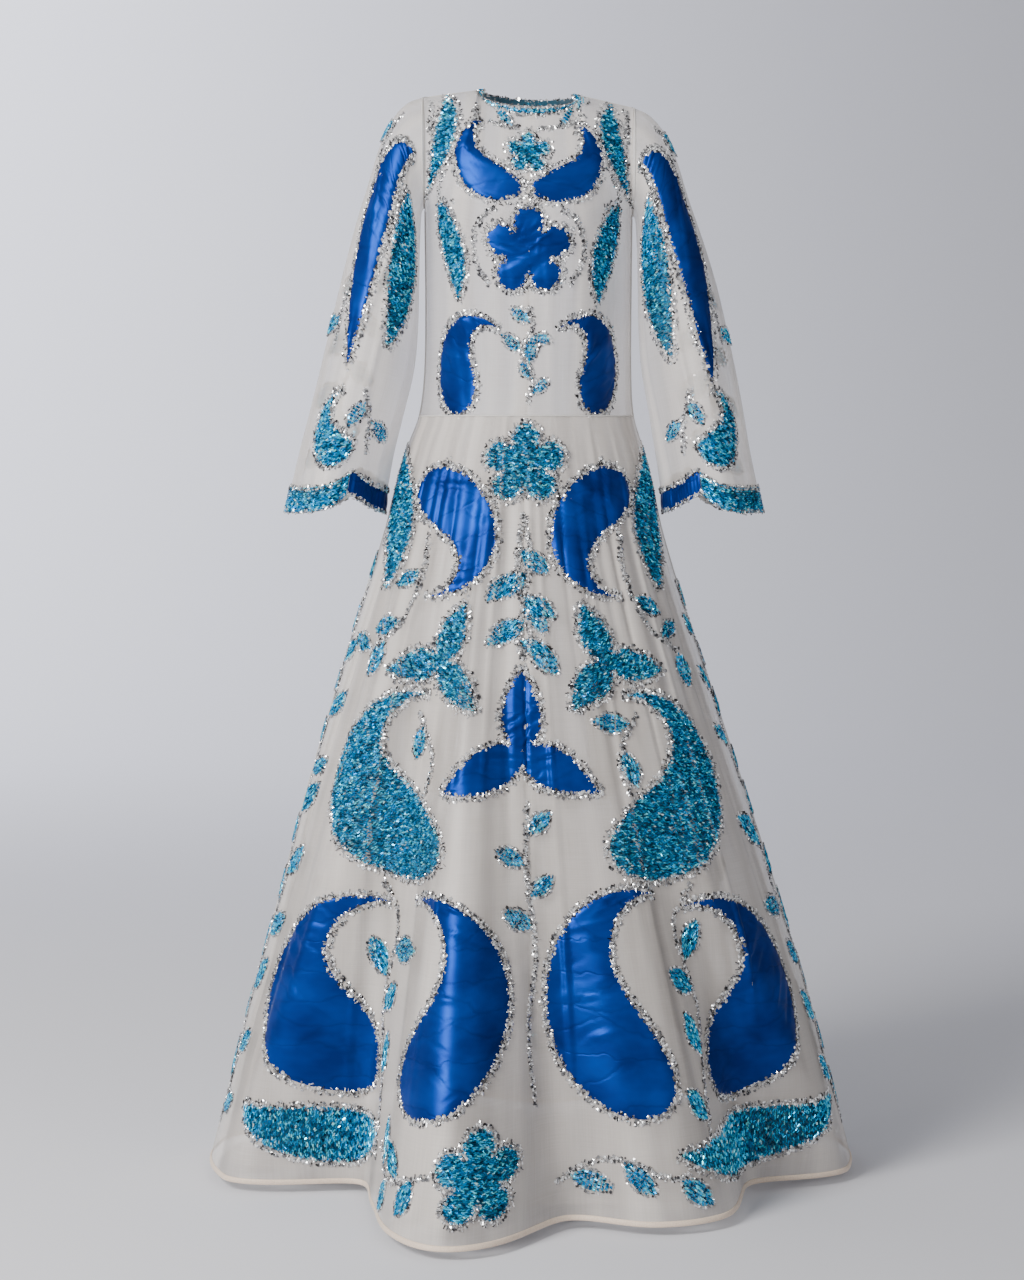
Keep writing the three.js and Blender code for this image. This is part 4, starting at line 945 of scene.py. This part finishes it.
# How silver beads are mixed: how far they stray from their line, how high they lie over its crown and beside
# it, how many are bugles, and the sizes of bugles, of large flat sequins and of small crystals
SILVER_MIX = {
    "stray": 0.5, "lift": (0.9, 2.6), "crown": 1.5, "fall": 0.09, "lowest": 0.7, "bugles": 0.24, "turn": 0.35,
    "lean": 0.28, "tones": (1.3, 0.9), "bugle": (4.2, 6.4), "thick": 1.7, "large_share": 0.5,
    "large": (4.6, 6.4), "small": (2.8, 4.1), "flat_from": 4.3, "flat": 1.4, "round": 0.8,
}
TAFFETA_LIFT = {"edge": 0.25, "middle": 1.6, "lowest": 0.15}
BORDER = {"spacing": 0.88, "inner": -3.5, "outer": 8.0}


def puckers(a, b, patch, random):
    """Puckers and slack creases of a patch sewn down all round: round ridges and troughs on straight
    lines across it, most of them near one slanting direction, each as wide, long and high as chance
    gives."""
    out = np.zeros_like(a)
    span = patch["length"] / 2
    slant = random.uniform(0.25, 0.6)
    for kind in CREASE_KINDS:
        for _ in range(int(2 + kind["count"] * patch["length"] / 100)):
            turn = slant + random.normal(0, kind["turn"])
            middle_a, middle_b = random.uniform(-0.35, 0.35) * span, random.uniform(-1, 1) * span
            across = (b - middle_b) * math.cos(turn) - (a - middle_a) * math.sin(turn)
            along = (b - middle_b) * math.sin(turn) + (a - middle_a) * math.cos(turn)
            wide, long = random.uniform(*kind["wide"]), random.uniform(*kind["long"])
            high = random.choice([-1, 1]) * random.uniform(*kind["high"])
            out += high * bump(across / wide) * bump(along / long)
    return out


def inside(a, b, edge_a, edge_b):
    """Whether points lie within an outline, by counting its sides that a level line from each point
    crosses."""
    next_a, next_b = np.roll(edge_a, -1), np.roll(edge_b, -1)
    spans = (edge_b[None] > b[:, None]) != (next_b[None] > b[:, None])
    slope = (next_a - edge_a) / np.where(next_b == edge_b, 1e-9, next_b - edge_b)
    crosses = a[:, None] < edge_a[None] + (b[:, None] - edge_b[None]) * slope[None]
    return (spans & crosses).sum(axis=1) % 2 == 1


def taffeta_patch(motif, random):
    """A taffeta patch: it stands a little off the organza, turns down to it at its edge, and puckers
    between."""

    def away(a, b, edge):
        pucker = puckers(a, b, motif.patch, random) * (1 - edge**6)
        lift = TAFFETA_LIFT["edge"] + TAFFETA_LIFT["middle"] * (1 - edge**8) + pucker
        return np.maximum(lift, TAFFETA_LIFT["lowest"])

    motif.sheet("_taffeta", TAFFETA_CELL, away, TAFFETA, "blue_taffeta")


def bead_field(motif, random):
    """Rows of bugle beads over a turquoise patch, on a net: each row is shifted by half a bead, every
    bead leans a little, and its tone goes by chance."""

    def away(a, b, edge):
        return np.full(a.shape, FIELD["net_lift"])

    motif.sheet("_net", NET_CELL, away, NET, "turquoise_beads")
    edge_a, edge_b, _ = motif.outline(spacing=3)
    span = motif.patch["length"] / 2 + FIELD["margin"]
    row = np.arange(-span, span, BUGLE["row"])
    column = np.arange(-span, span, BUGLE["apart"])
    grid_a, grid_b = np.meshgrid(column, row)
    grid_a = grid_a + (np.arange(len(row)) % 2)[:, None] * BUGLE["apart"] / 2
    stray_a, stray_b = FIELD["stray"]
    a = grid_a.ravel() + random.normal(0, stray_a, grid_a.size)
    b = grid_b.ravel() + random.normal(0, stray_b, grid_b.size)
    within = inside(a, b, edge_a, edge_b)
    bugle_piece(motif.name + "_bugles", motif, a[within], b[within], FIELD["slant"], random)


def bugle_piece(name, laid, a, b, slant, random, turn=0.0):
    """Bugle beads at places of a flat frame, in the direction turn, every other one leaning the other
    way."""
    count = len(a)
    lean = turn + random.normal(0.0, BUGLE["turn"], count) + slant * np.where(np.arange(count) % 2, 1, -1)
    along, outward = laid.directions(a, b, lean)
    outward = outward + BUGLE["lean"] * random.normal(0, 1, (count, 3))
    long, thick = random.uniform(*BUGLE["lengths"], count) * BUGLE["length"], np.full(count, BUGLE["thick"])
    sizes = np.stack([long, thick, thick], axis=1)
    centres = laid.points(a, b, random.uniform(*BUGLE["lift"], count))
    tones = random.beta(*BUGLE["tones"], count)
    bead_piece(name, strewn((BUGLE_POINTS, BUGLE_FACES), centres, along, outward, sizes, tones), TURQUOISE)


def silver_parts(laid, base_a, base_b, outward, random, inner=BORDER["inner"], outer=BORDER["outer"]):
    """A border of silver sequins, crystals and bugles strewn along a line, the bugles lying outwards from
    it."""
    mixed, count = SILVER_MIX, len(base_a)
    shift = random.uniform(inner, outer, count)
    a = base_a + shift * np.cos(outward) + random.normal(0, mixed["stray"], count)
    b = base_b + shift * np.sin(outward) + random.normal(0, mixed["stray"], count)
    bugle = random.random(count) < mixed["bugles"]
    lift = random.uniform(*mixed["lift"], count) - mixed["fall"] * np.abs(shift - mixed["crown"])
    centres = laid.points(a, b, np.maximum(lift, mixed["lowest"]))
    bugle_turn = outward + random.normal(0, mixed["turn"], count)
    along, out = laid.directions(a, b, np.where(bugle, bugle_turn, random.uniform(0, 2 * np.pi, count)))
    out = out + random.normal(0, mixed["lean"], (count, 3))
    tones = random.beta(*mixed["tones"], count)

    def part(shape, which, sizes):
        sizes = np.stack(sizes, axis=1)
        return strewn(shape, centres[which], along[which], out[which], sizes, tones[which])

    parts = []
    if bugle.any():
        thick = np.full(bugle.sum(), mixed["thick"])
        long = random.uniform(*mixed["bugle"], bugle.sum())
        parts.append(part((BUGLE_POINTS, BUGLE_FACES), bugle, (long, thick, thick)))
    gems = (~bugle).sum()
    large = random.random(gems) < mixed["large_share"]
    wide = np.where(large, random.uniform(*mixed["large"], gems), random.uniform(*mixed["small"], gems))
    high = np.where(wide > mixed["flat_from"], mixed["flat"], mixed["round"] * wide)
    parts.append(part((GEM_POINTS, GEM_FACES), ~bugle, (wide, wide, high)))
    return joined(parts)


def silver_at(surface, p, q, turns, random, inner, outer):
    """Silver beads at places of a surface, from inner to outer in the directions of their turns."""
    zero = np.zeros(len(p))
    return silver_parts(Laid(surface, p, q), zero, zero, turns, random, inner, outer)


def headings(surface, p, q):
    """The direction of a line at each of its places, as an angle in the flat frame laid there."""
    size_p, size_q = surface.sizes(p, q)
    return np.gradient(p) * size_p, np.gradient(q) * size_q * surface.up


def silver_line(name, surface, p, q, inner, outer, spacing, random):
    """A border of silver beads along a line of a surface, as wide as from inner to outer to its one side.
    The line is cut into even steps by its length."""
    along = run_along(surface.point(p, q)) / METRE
    at = np.linspace(0, along[-1], int(along[-1] / spacing))
    p, q = np.interp(at, along, p), np.interp(at, along, q)
    ahead_a, ahead_b = headings(surface, p, q)
    bead_piece(name, silver_at(surface, p, q, np.arctan2(-ahead_a, ahead_b), random, inner, outer), SILVER)


def make_patches():
    """Every patch with its field and border, each with its own seed, so that one never changes another."""
    for number, patch in enumerate(PATCHES):
        for side in sides_of(patch):
            random = np.random.default_rng(1000 + 2 * number + (side > 0))
            motif = Motif(patch, side)
            make = taffeta_patch if patch["finish"] == "blue" else bead_field
            make(motif, random)
            border = silver_parts(motif, *motif.outline(BORDER["spacing"]), random)
            bead_piece(motif.name + "_border", border, SILVER)


# Panels
SHOULDER_ROWS, BODICE_LOWER_ROWS = 22, 46
ROUND_SHARE = SHOULDER_ROUND / (NECK["side"] - WAIST_Z)
BODICE_ROWS = np.concatenate([
    ROUND_SHARE * (1 - np.cos(np.pi / 2 * np.linspace(0, 1, SHOULDER_ROWS))),
    np.linspace(ROUND_SHARE, 1, BODICE_LOWER_ROWS)[1:],
])
SKIRT_ROWS = np.linspace(WAIST_Z, HEM_Z, 80)
UNDERSKIRT_ROWS = np.linspace(WAIST_Z, UNDERSKIRT_HEM_Z, 54)
SLEEVE_ROWS = np.linspace(0, 1, 72)
BACK_HALF = np.linspace(SEAM_TURN, 90, 47)
ROUND_SLEEVE = np.linspace(-180, 180, 121)[:-1]


def make_panels():
    """The organza panels, each a grid of its surface between its seams, for each node that they replace."""
    panels = {
        "bodice_front": (BODICE_FRONT, np.linspace(-90, 90, 93), BODICE_ROWS),
        "bodice_back_right": (BODICE_BACK, BACK_HALF, BODICE_ROWS),
        "bodice_back_left": (BODICE_BACK, -BACK_HALF[::-1], BODICE_ROWS),
        "skirt_front": (SKIRT, np.linspace(-90, 90, 230), SKIRT_ROWS),
        "skirt_back_right": (SKIRT, np.linspace(90, 180 - SEAM_TURN, 112), SKIRT_ROWS),
        "skirt_back_left": (SKIRT, np.linspace(-180 + SEAM_TURN, -90, 112), SKIRT_ROWS),
        "underskirt_front": (UNDERSKIRT, np.linspace(-90, 90, 100), UNDERSKIRT_ROWS),
        "underskirt_back": (UNDERSKIRT, np.linspace(90, 270, 100), UNDERSKIRT_ROWS),
        "sleeve_left": (SLEEVES[-1], ROUND_SLEEVE, SLEEVE_ROWS),
        "sleeve_right": (SLEEVES[1], ROUND_SLEEVE, SLEEVE_ROWS),
    }
    pieces = []
    for node, (surface, p, q) in panels.items():
        under = surface is UNDERSKIRT
        material, slot = (UNDER_ORGANZA, "underskirt_organza") if under else (ORGANZA, "organza")
        piece = cloth_grid(f"organza_{node}", surface, p, q, material, wrap=p is ROUND_SLEEVE)
        piece["rows"] = len(q)
        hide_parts(node)
        pieces.append(piece)
    return pieces


VINE = {
    "steps": 240, "half": 4.0, "spacing": 0.95, "clear": 11, "leaf_lean": 0.85, "leaf_stray": 0.15,
    "leaf_scale": 1.5, "leaf_sizes": (0.85, 1.15), "leaf_shape": 0.5,
}
LEAFLET = {
    "start": 2, "apart": 4.6, "row": 2.2, "inset": 0.4, "rim_step": 2.8, "rim_out": 2.4, "rim": (-0.4, 0.8),
}


def curve_through(points, count):
    """A smooth curve through points: between two, the cubic whose slope at each is half the step across
    it."""
    points = np.array(points, float)
    slopes = np.gradient(points, axis=0)
    at = np.linspace(0, len(points) - 1, count)
    a = np.minimum(at.astype(int), len(points) - 2)
    t = (at - a)[:, None]
    return (
        (2 * t**3 - 3 * t**2 + 1) * points[a] + (t**3 - 2 * t**2 + t) * slopes[a]
        + (3 * t**2 - 2 * t**3) * points[a + 1] + (t**3 - t**2) * slopes[a + 1]
    ).T


def clear_of(motifs, p, q):
    """Whether places on a surface lie outside the borders of all the patches on it."""
    clear = np.ones(len(p), bool)
    for motif, edge_a, edge_b in motifs:
        a, b = motif.flat(p, q)
        near = np.hypot(a, b) < np.hypot(edge_a, edge_b).max()
        if near.any():
            clear[near] &= ~inside(a[near], b[near], edge_a, edge_b)
    return clear


def leaflet(long, turn):
    """The bugles and the rim of a leaflet that points in a direction, in the flat frame laid at its stem:
    two arrays of a and b."""
    wide = VINE["leaf_shape"] * long
    columns = np.arange(LEAFLET["start"], long, LEAFLET["apart"])
    x, y = np.meshgrid(columns, np.arange(-wide / 2, wide / 2 + 0.1, LEAFLET["row"]))
    within = np.abs(y) < wide / 2 * np.sin(np.pi * x / long) ** LEAF_POWER - LEAFLET["inset"]
    u = np.linspace(0, 1, int(long / LEAFLET["rim_step"]))
    half = wide / 2 * np.sin(np.pi * u) ** LEAF_POWER + LEAFLET["rim_out"]
    shapes = (x[within], y[within]), (np.concatenate([u, u]) * long, np.concatenate([half, -half]))
    cos, sin, start = math.cos(turn), math.sin(turn), VINE["half"]
    return [((x + start) * cos - y * sin, (x + start) * sin + y * cos) for x, y in shapes]


def make_vine(vine, side, motifs, random):
    """One vine: beads of silver along its stem, and leaflets by turns on both sides of it, each a field
    of bugles within a silver edge. What would lie on a patch is left out."""
    name = "vine_" + sided(vine["name"], side, vine)
    surface = surface_of(vine["on"], side)
    p, q = curve_through(vine["points"], VINE["steps"])
    p = p if vine["on"] == "sleeve" else p * side
    along = run_along(surface.point(p, q)) / METRE
    at = np.arange(0, along[-1], VINE["spacing"])
    stem_p, stem_q = np.interp(at, along, p), np.interp(at, along, q)
    ahead_a, ahead_b = headings(surface, stem_p, stem_q)
    ahead = np.arctan2(ahead_b, ahead_a)
    clear = clear_of(motifs, stem_p, stem_q)
    half = VINE["half"]
    parts = []
    if clear.any():
        outward = ahead[clear] + np.pi / 2
        parts.append(silver_at(surface, stem_p[clear], stem_q[clear], outward, random, -half, half))
    fields, rims = [], []
    leaf_at = np.arange(vine["every"] / 2, along[-1], vine["every"]) if vine["leaf"] else []
    for number, i in enumerate(np.searchsorted(at, leaf_at).clip(0, len(at) - 1)):
        lean = VINE["leaf_lean"] * (1 if number % 2 else -1)
        turn = ahead[i] + lean + random.normal(0, VINE["leaf_stray"])
        long = vine["leaf"] * VINE["leaf_scale"] * random.uniform(*VINE["leaf_sizes"])
        place = Laid(surface, stem_p[i], stem_q[i])
        field, rim = (place.place(a, b) for a, b in leaflet(long, turn))
        if clear_of(motifs, np.concatenate([field[0], rim[0]]), np.concatenate([field[1], rim[1]])).all():
            fields.append((*field, np.full(field[0].shape, turn)))
            rims.append((*rim, np.full(rim[0].shape, turn)))
    if fields:
        p, q, turns = (np.concatenate(column) for column in zip(*fields))
        zero = np.zeros(len(p))
        bugle_piece(name + "_leaflets", Laid(surface, p, q), zero, zero, 0.0, random, turns)
        p, q, turns = (np.concatenate(column) for column in zip(*rims))
        parts.append(silver_at(surface, p, q, turns, random, *LEAFLET["rim"]))
    if parts:
        bead_piece(name + "_silver", joined(parts), SILVER)


def make_vines():
    motifs = []
    for patch in PATCHES:
        for side in sides_of(patch):
            motif = Motif(patch, side)
            a, b, outward = motif.outline(spacing=6)
            motifs.append((motif, a + VINE["clear"] * np.cos(outward), b + VINE["clear"] * np.sin(outward)))
    for number, vine in enumerate(VINES):
        for side in sides_of(vine):
            random = np.random.default_rng(5000 + 2 * number + (side > 0))
            near = [row for row in motifs
                    if row[0].patch["on"] == vine["on"] and (row[0].side == side or vine["on"] != "sleeve")]
            make_vine(vine, side, near, random)


# Trims
CUFF = {"lift": 0.4, "swell": 1.4, "slack": 0.6, "slant": 0.2, "spacing": 1.3, "hem": 0.996}
NECK_BEADS = {"lift": 0.3, "slant": 0.3, "spacing": 1.2}
SEAM_ROLL = {"half": 1.1, "high": 0.7, "lift": 0.2}
HEM_ROLL = {"high": 1.5, "lift": 0.4}
LOOP = {"half": 0.8, "reach": 2, "along": 1.1, "beside": 0.9, "lift": 0.9}


def cuff_bands(side, word):
    """The two bands of a cuff, beads on the outer scallop and taffeta on the inner one, with silver
    edges."""
    surface = SLEEVES[side]
    rows = np.linspace(BAND_TOP, 1, 9)
    across = np.sin(np.pi * np.linspace(0, 1, 9))[:, None]
    scallops = ("outer", -CUSP["at"], CUSP["at"]), ("inner", CUSP["at"], 360 - CUSP["at"])
    for number, (kind, start, end) in enumerate(scallops):
        random = np.random.default_rng(300 + 10 * side + number)
        name = f"cuff_band_{kind}_{word}"
        columns = np.linspace(start, end, 150)
        if kind == "inner":
            slack = sum(
                random.uniform(0.3, 0.7) * np.sin(columns * k / 9 + random.uniform(0, 6))
                for k in (2, 5, 9, 13)
            )
            cloth = cloth_grid(name + "_taffeta", surface, columns, rows, TAFFETA,
                               away=CUFF["lift"] + (CUFF["swell"] + CUFF["slack"] * slack) * across)
        else:
            cloth = cloth_grid(name + "_net", surface, columns, rows, NET,
                               away=CUFF["lift"])
            size_p, size_q = surface.sizes(0.0, (BAND_TOP + 1) / 2)
            p = np.arange(start + 1, end - 1, BUGLE["apart"] / size_p * 0.94)
            q = np.arange(BAND_TOP, 1, BUGLE["row"] / size_q)
            grid_p, grid_q = np.meshgrid(p, q)
            grid_p = grid_p + (np.arange(len(q)) % 2)[:, None] * (p[1] - p[0]) / 2
            laid, zero = Laid(surface, grid_p.ravel(), grid_q.ravel()), np.zeros(grid_p.size)
            bugle_piece(name + "_bugles", laid, zero, zero, CUFF["slant"], random)
        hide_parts(name)
        line = points_of(cloth).reshape(len(rows), -1, 3)
        for edge, level, inner, outer in (("top", BAND_TOP, -3.5, 3.5), ("hem", CUFF["hem"], -4.5, 2.5)):
            level = np.full(columns.shape, level)
            silver_line(f"{name}_{edge}_edge", surface, columns, level, inner, outer, CUFF["spacing"], random)


def hem_rolls():
    """The narrow rolled hem, one length to each panel of the skirt."""
    middle = HEM_Z + HEM_BAND / 2
    for name, start, end, count in (
        ("hem_band_front", -90, 90, 300), ("hem_band_back_right", 90, 180 - SEAM_TURN, 140),
        ("hem_band_back_left", -180 + SEAM_TURN, -90, 140),
    ):
        columns = np.linspace(start, end, count)
        roll = welt(name + "_roll", SKIRT, columns, middle, HEM_BAND / 2, HEM_ROLL["high"], HEM_CLOTH,
                    lift=HEM_ROLL["lift"], sides=12)
        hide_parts(name)


def neck_band():
    """The neck's edging: a net with turquoise bugles across it and silver beads along both edges."""
    random = np.random.default_rng(77)
    width = NECK_EDGING["width"]
    turn = np.linspace(-NECK_EDGING["turn"] + 0.5, NECK_EDGING["turn"] - 0.5, 260)
    rise = np.linspace(0, width, 6)
    net = cloth_grid("neck_edging_net", NECK_LINE, turn, rise, NET,
                     away=NECK_BEADS["lift"])
    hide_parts("neck_edging")
    grid_p, grid_q = np.meshgrid(turn[::2], rise[1:-1])
    laid, zero = Laid(NECK_LINE, grid_p.ravel(), grid_q.ravel()), np.zeros(grid_p.size)
    bugle_piece("neck_edging_bugles", laid, zero, zero, NECK_BEADS["slant"], random)
    for edge, level, inner, outer in (("lower", -1.0, -3.0, 3.5), ("upper", width - 1.5, -2.0, 2.0)):
        level = np.full(turn.shape, level)
        silver_line(f"neck_edging_{edge}_beads", NECK_LINE, turn, level, inner, outer, NECK_BEADS["spacing"],
                    random)
    float(run_along(neck_point(turn, 0 * turn))[-1])


def seam_welts():
    """The sewn seams: narrow rolls at the waist, the sides, the shoulders, the middle of the back and the
    armholes."""
    full = np.linspace(-180, 180, 241)[:-1]
    down = np.linspace(0.3, 1, 60)
    level = np.linspace(WAIST_Z, HEM_Z + HEM_BAND, 100)
    back = np.linspace(0.16, 1, 90)
    seams = [("waist_seam", SKIRT, full, WAIST_Z - 0.8, True)]
    for side, word in ((-1, "left"), (1, "right")):
        seams += [
            (f"side_seam_skirt_{word}", SKIRT, 90 * side, level, False),
            (f"side_seam_bodice_{word}", BODICE_FRONT, 89.9 * side, down, False),
            (f"shoulder_seam_{word}", BODICE_FRONT, side * np.linspace(55, 89.5, 40), 0.0015, False),
            (f"armhole_seam_{word}", SLEEVES[side], full, 0.006, True),
        ]
    seams.append(("back_seam_skirt", SKIRT, 180, level, False))
    seams.append(("back_seam_bodice", BODICE_BACK, 0, back, False))
    for name, surface, p, q, closed in seams:
        welt(name, surface, p, q, SEAM_ROLL["half"], SEAM_ROLL["high"], SEAM_CLOTH,
             lift=SEAM_ROLL["lift"], closed=closed, sides=8)


def buttons():
    """Three covered buttons below the neck, each a dome turned from a quarter oval, with a loop of cord
    from the other half of the back round its foot."""
    radius, height = BUTTONS["radius"], BUTTONS["height"]
    quarter = np.linspace(0, np.pi / 2, 12)[:-1]
    rings = np.concatenate([[0], radius * np.cos(quarter), [1e-3]])[:, None, None]
    rises = np.concatenate([[0], height * np.sin(quarter), [height]])[:, None, None]
    sides = 40
    round_turn = np.linspace(0, 2 * np.pi, sides, endpoint=False)[:, None]
    loop = np.linspace(0, 2 * np.pi, 60, endpoint=False)[:, None]
    zero = np.array(0.0)
    for number, below in enumerate(BUTTONS["below"]):
        down = below / (NECK["back"] - WAIST_Z)
        size_p, _ = BODICE_BACK.sizes(3.0, down)
        laid = Laid(BODICE_BACK, BUTTONS["aside"] / size_p, down)
        base = laid.points(zero, zero, np.array(BUTTONS["lift"]))
        across, outward = laid.directions(zero, zero, zero)
        rising = np.cross(outward, across)
        ring = np.cos(round_turn) * across + np.sin(round_turn) * rising
        dome = mesh_piece(f"covered_button_{number + 1}", base + (rings * ring + rises * outward) * METRE,
                          grid_faces(len(rings), sides, 1, wrap=True), BUTTON_CLOTH)
        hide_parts(f"button_{number + 1}")
        reach = BUTTONS["aside"] + LOOP["reach"]
        path = base - across * reach / 2 * METRE + (
            np.cos(loop) * across * (reach / 2 + radius + LOOP["along"])
            + np.sin(loop) * rising * (radius + LOOP["beside"])
            + outward * LOOP["lift"]
        ) * METRE
        cord = tube(path, outward, LOOP["half"], LOOP["half"], 8, closed=True)
        faces = grid_faces(len(cord), 8, -1, wrap=True)
        mesh_piece(f"button_loop_{number + 1}", cord, faces, SEAM_CLOTH)


# The room, the light and the camera
def make_camera():
    data = bpy.data.cameras.new("camera")
    data.sensor_fit = "VERTICAL"
    data.sensor_height = CAMERA["sensor"]
    data.lens = CAMERA["lens"]
    data.clip_end = CAMERA["far"]
    camera = bpy.data.objects.new("camera", data)
    camera.location = (CAMERA["x"] * METRE, -CAMERA["distance"] * METRE, CAMERA["z"] * METRE)
    camera.rotation_euler = (math.radians(90 + CAMERA["pitch"]), 0, 0)
    bpy.context.scene.collection.objects.link(camera)
    bpy.context.scene.camera = camera


def make_light(name, place, aim, size, power, colour):
    data = bpy.data.lights.new(name, "AREA")
    data.shape = "RECTANGLE"
    data.size, data.size_y = size
    data.energy = power
    data.color = colour
    light = bpy.data.objects.new(name, data)
    light.location = place
    direction = Vector(np.array(aim, float) - np.array(place, float))
    light.rotation_euler = direction.to_track_quat("-Z", "Y").to_euler()
    bpy.context.scene.collection.objects.link(light)


# In metres, apart from the colours: left and right as the camera sees them. The floor's and the wall's
# colours carry painted light and shade: lighter at the left, where the light comes from, and darker at the
# right.
ROOM = {"back": 8.2, "front": -9.0, "radius": 3.0, "height": 11.0, "half": 14.0}
FLOOR_PAINTED_LIT, FLOOR_PAINTED_SHADE = (0.94, 0.94, 0.99), (0.50, 0.505, 0.545)
WALL_PAINTED_LIT, WALL_PAINTED_SHADE = (0.86, 0.865, 0.94), (0.62, 0.625, 0.68)
# Across, the paint goes from painted light at the left to painted shade at the right; behind, from the
# floor's tones to the wall's.
PAINTED_SHADE_ACROSS, PAINT_BEHIND = (-2.2, 2.2), (1.2, 2.4)  # where the paint goes from one tone to the next
WORLD_STRENGTH = 0.8


def room_paint_with_painted_shade(tree):
    """Pale paint with painted light and shade, lighter at the left and darker at the right, that goes, behind
    the dress, from the floor's tones to the wall's."""
    place = tree.add("SeparateXYZ", {0: tree.object_place()})
    share = tree.share(place.outputs["X"], *PAINTED_SHADE_ACROSS)
    away = tree.share(place.outputs["Y"], *PAINT_BEHIND)
    # The left tones are painted light and the right tones painted shade.
    floor, wall = (tree.ramp(share, [(0.0, left), (1.0, right)])
                   for left, right in ((FLOOR_PAINTED_LIT, FLOOR_PAINTED_SHADE), (WALL_PAINTED_LIT, WALL_PAINTED_SHADE)))
    return {"Base Color": tree.mix(away, floor, wall), "Roughness": 0.9, "Specular IOR Level": 0.1}


def make_room():
    """A pale floor that curves up into a backdrop: a profile of floor, quarter circle and wall carried
    across. The wall stands so far off that a camera behind the dress is still in front of it."""
    back, radius = ROOM["back"], ROOM["radius"]
    turn = np.linspace(0, np.pi / 2, 24)
    y = np.concatenate([[ROOM["front"]], back - radius + radius * np.sin(turn), [back]])
    z = np.concatenate([[0], radius - radius * np.cos(turn), [ROOM["height"]]]) + FLOOR_Z * METRE
    x = np.linspace(-ROOM["half"], ROOM["half"], 2)
    points = np.stack(np.broadcast_arrays(x[None, :], y[:, None], z[:, None]), axis=-1)
    mesh = bpy.data.meshes.new("room")
    mesh.from_pydata(points.reshape(-1, 3).tolist(), [], grid_faces(len(y), len(x)).tolist())
    mesh.polygons.foreach_set("use_smooth", np.full(len(mesh.polygons), True))
    mesh.materials.append(material_of("room_paint_with_painted_shade", room_paint_with_painted_shade))
    room = bpy.data.objects.new("room", mesh)
    bpy.context.scene.collection.objects.link(room)


def make_world():
    """A studio round the room: soft spots, which beads reflect, half mixed with light that falls off to
    the right."""
    world = bpy.data.worlds.new("world")
    tree = Tree(world)
    around = tree.add("TexCoord").outputs["Generated"]
    lamps = tree.add("TexNoise", {"Vector": around, "Scale": 3.2, "Detail": 1.0})
    spots = tree.ramp(lamps.outputs["Fac"], [(0.56, (0, 0, 0)), (0.64, (1, 1, 1))])
    split = tree.add("SeparateXYZ", {0: around})
    side = tree.ramp(split.outputs["X"], [(0.0, (1.0, 1.0, 1.0)), (0.7, (0.42, 0.42, 0.44))])
    tree.feed(tree.nodes["Background"], {"Color": tree.mix(0.5, spots, side), "Strength": WORLD_STRENGTH})
    bpy.context.scene.world = world


def make_lights():
    make_light("key", (-2.8, -3.2, 1.3), (0, 0, -0.7), (1.6, 2.4), 330, (1, 0.98, 0.955))
    make_light("fill", (2.8, -3.6, 0.2), (0, 0, -0.8), (2.0, 2.0), 16, (1, 1, 1))
    make_light("wall_left", (-3.5, 5.0, 3.0), (-2.2, 8.2, 0.0), (2.6, 2.6), 280, (0.93, 0.95, 1))


make_camera()
make_room()
make_world()
make_lights()
panels = make_panels()
make_patches()
make_vines()
for side, word in ((-1, "left"), (1, "right")):
    cuff_bands(side, word)
hem_rolls()
neck_band()
seam_welts()
buttons()
for piece in panels:
    declare_cloth(piece)

bpy.context.view_layer.update()
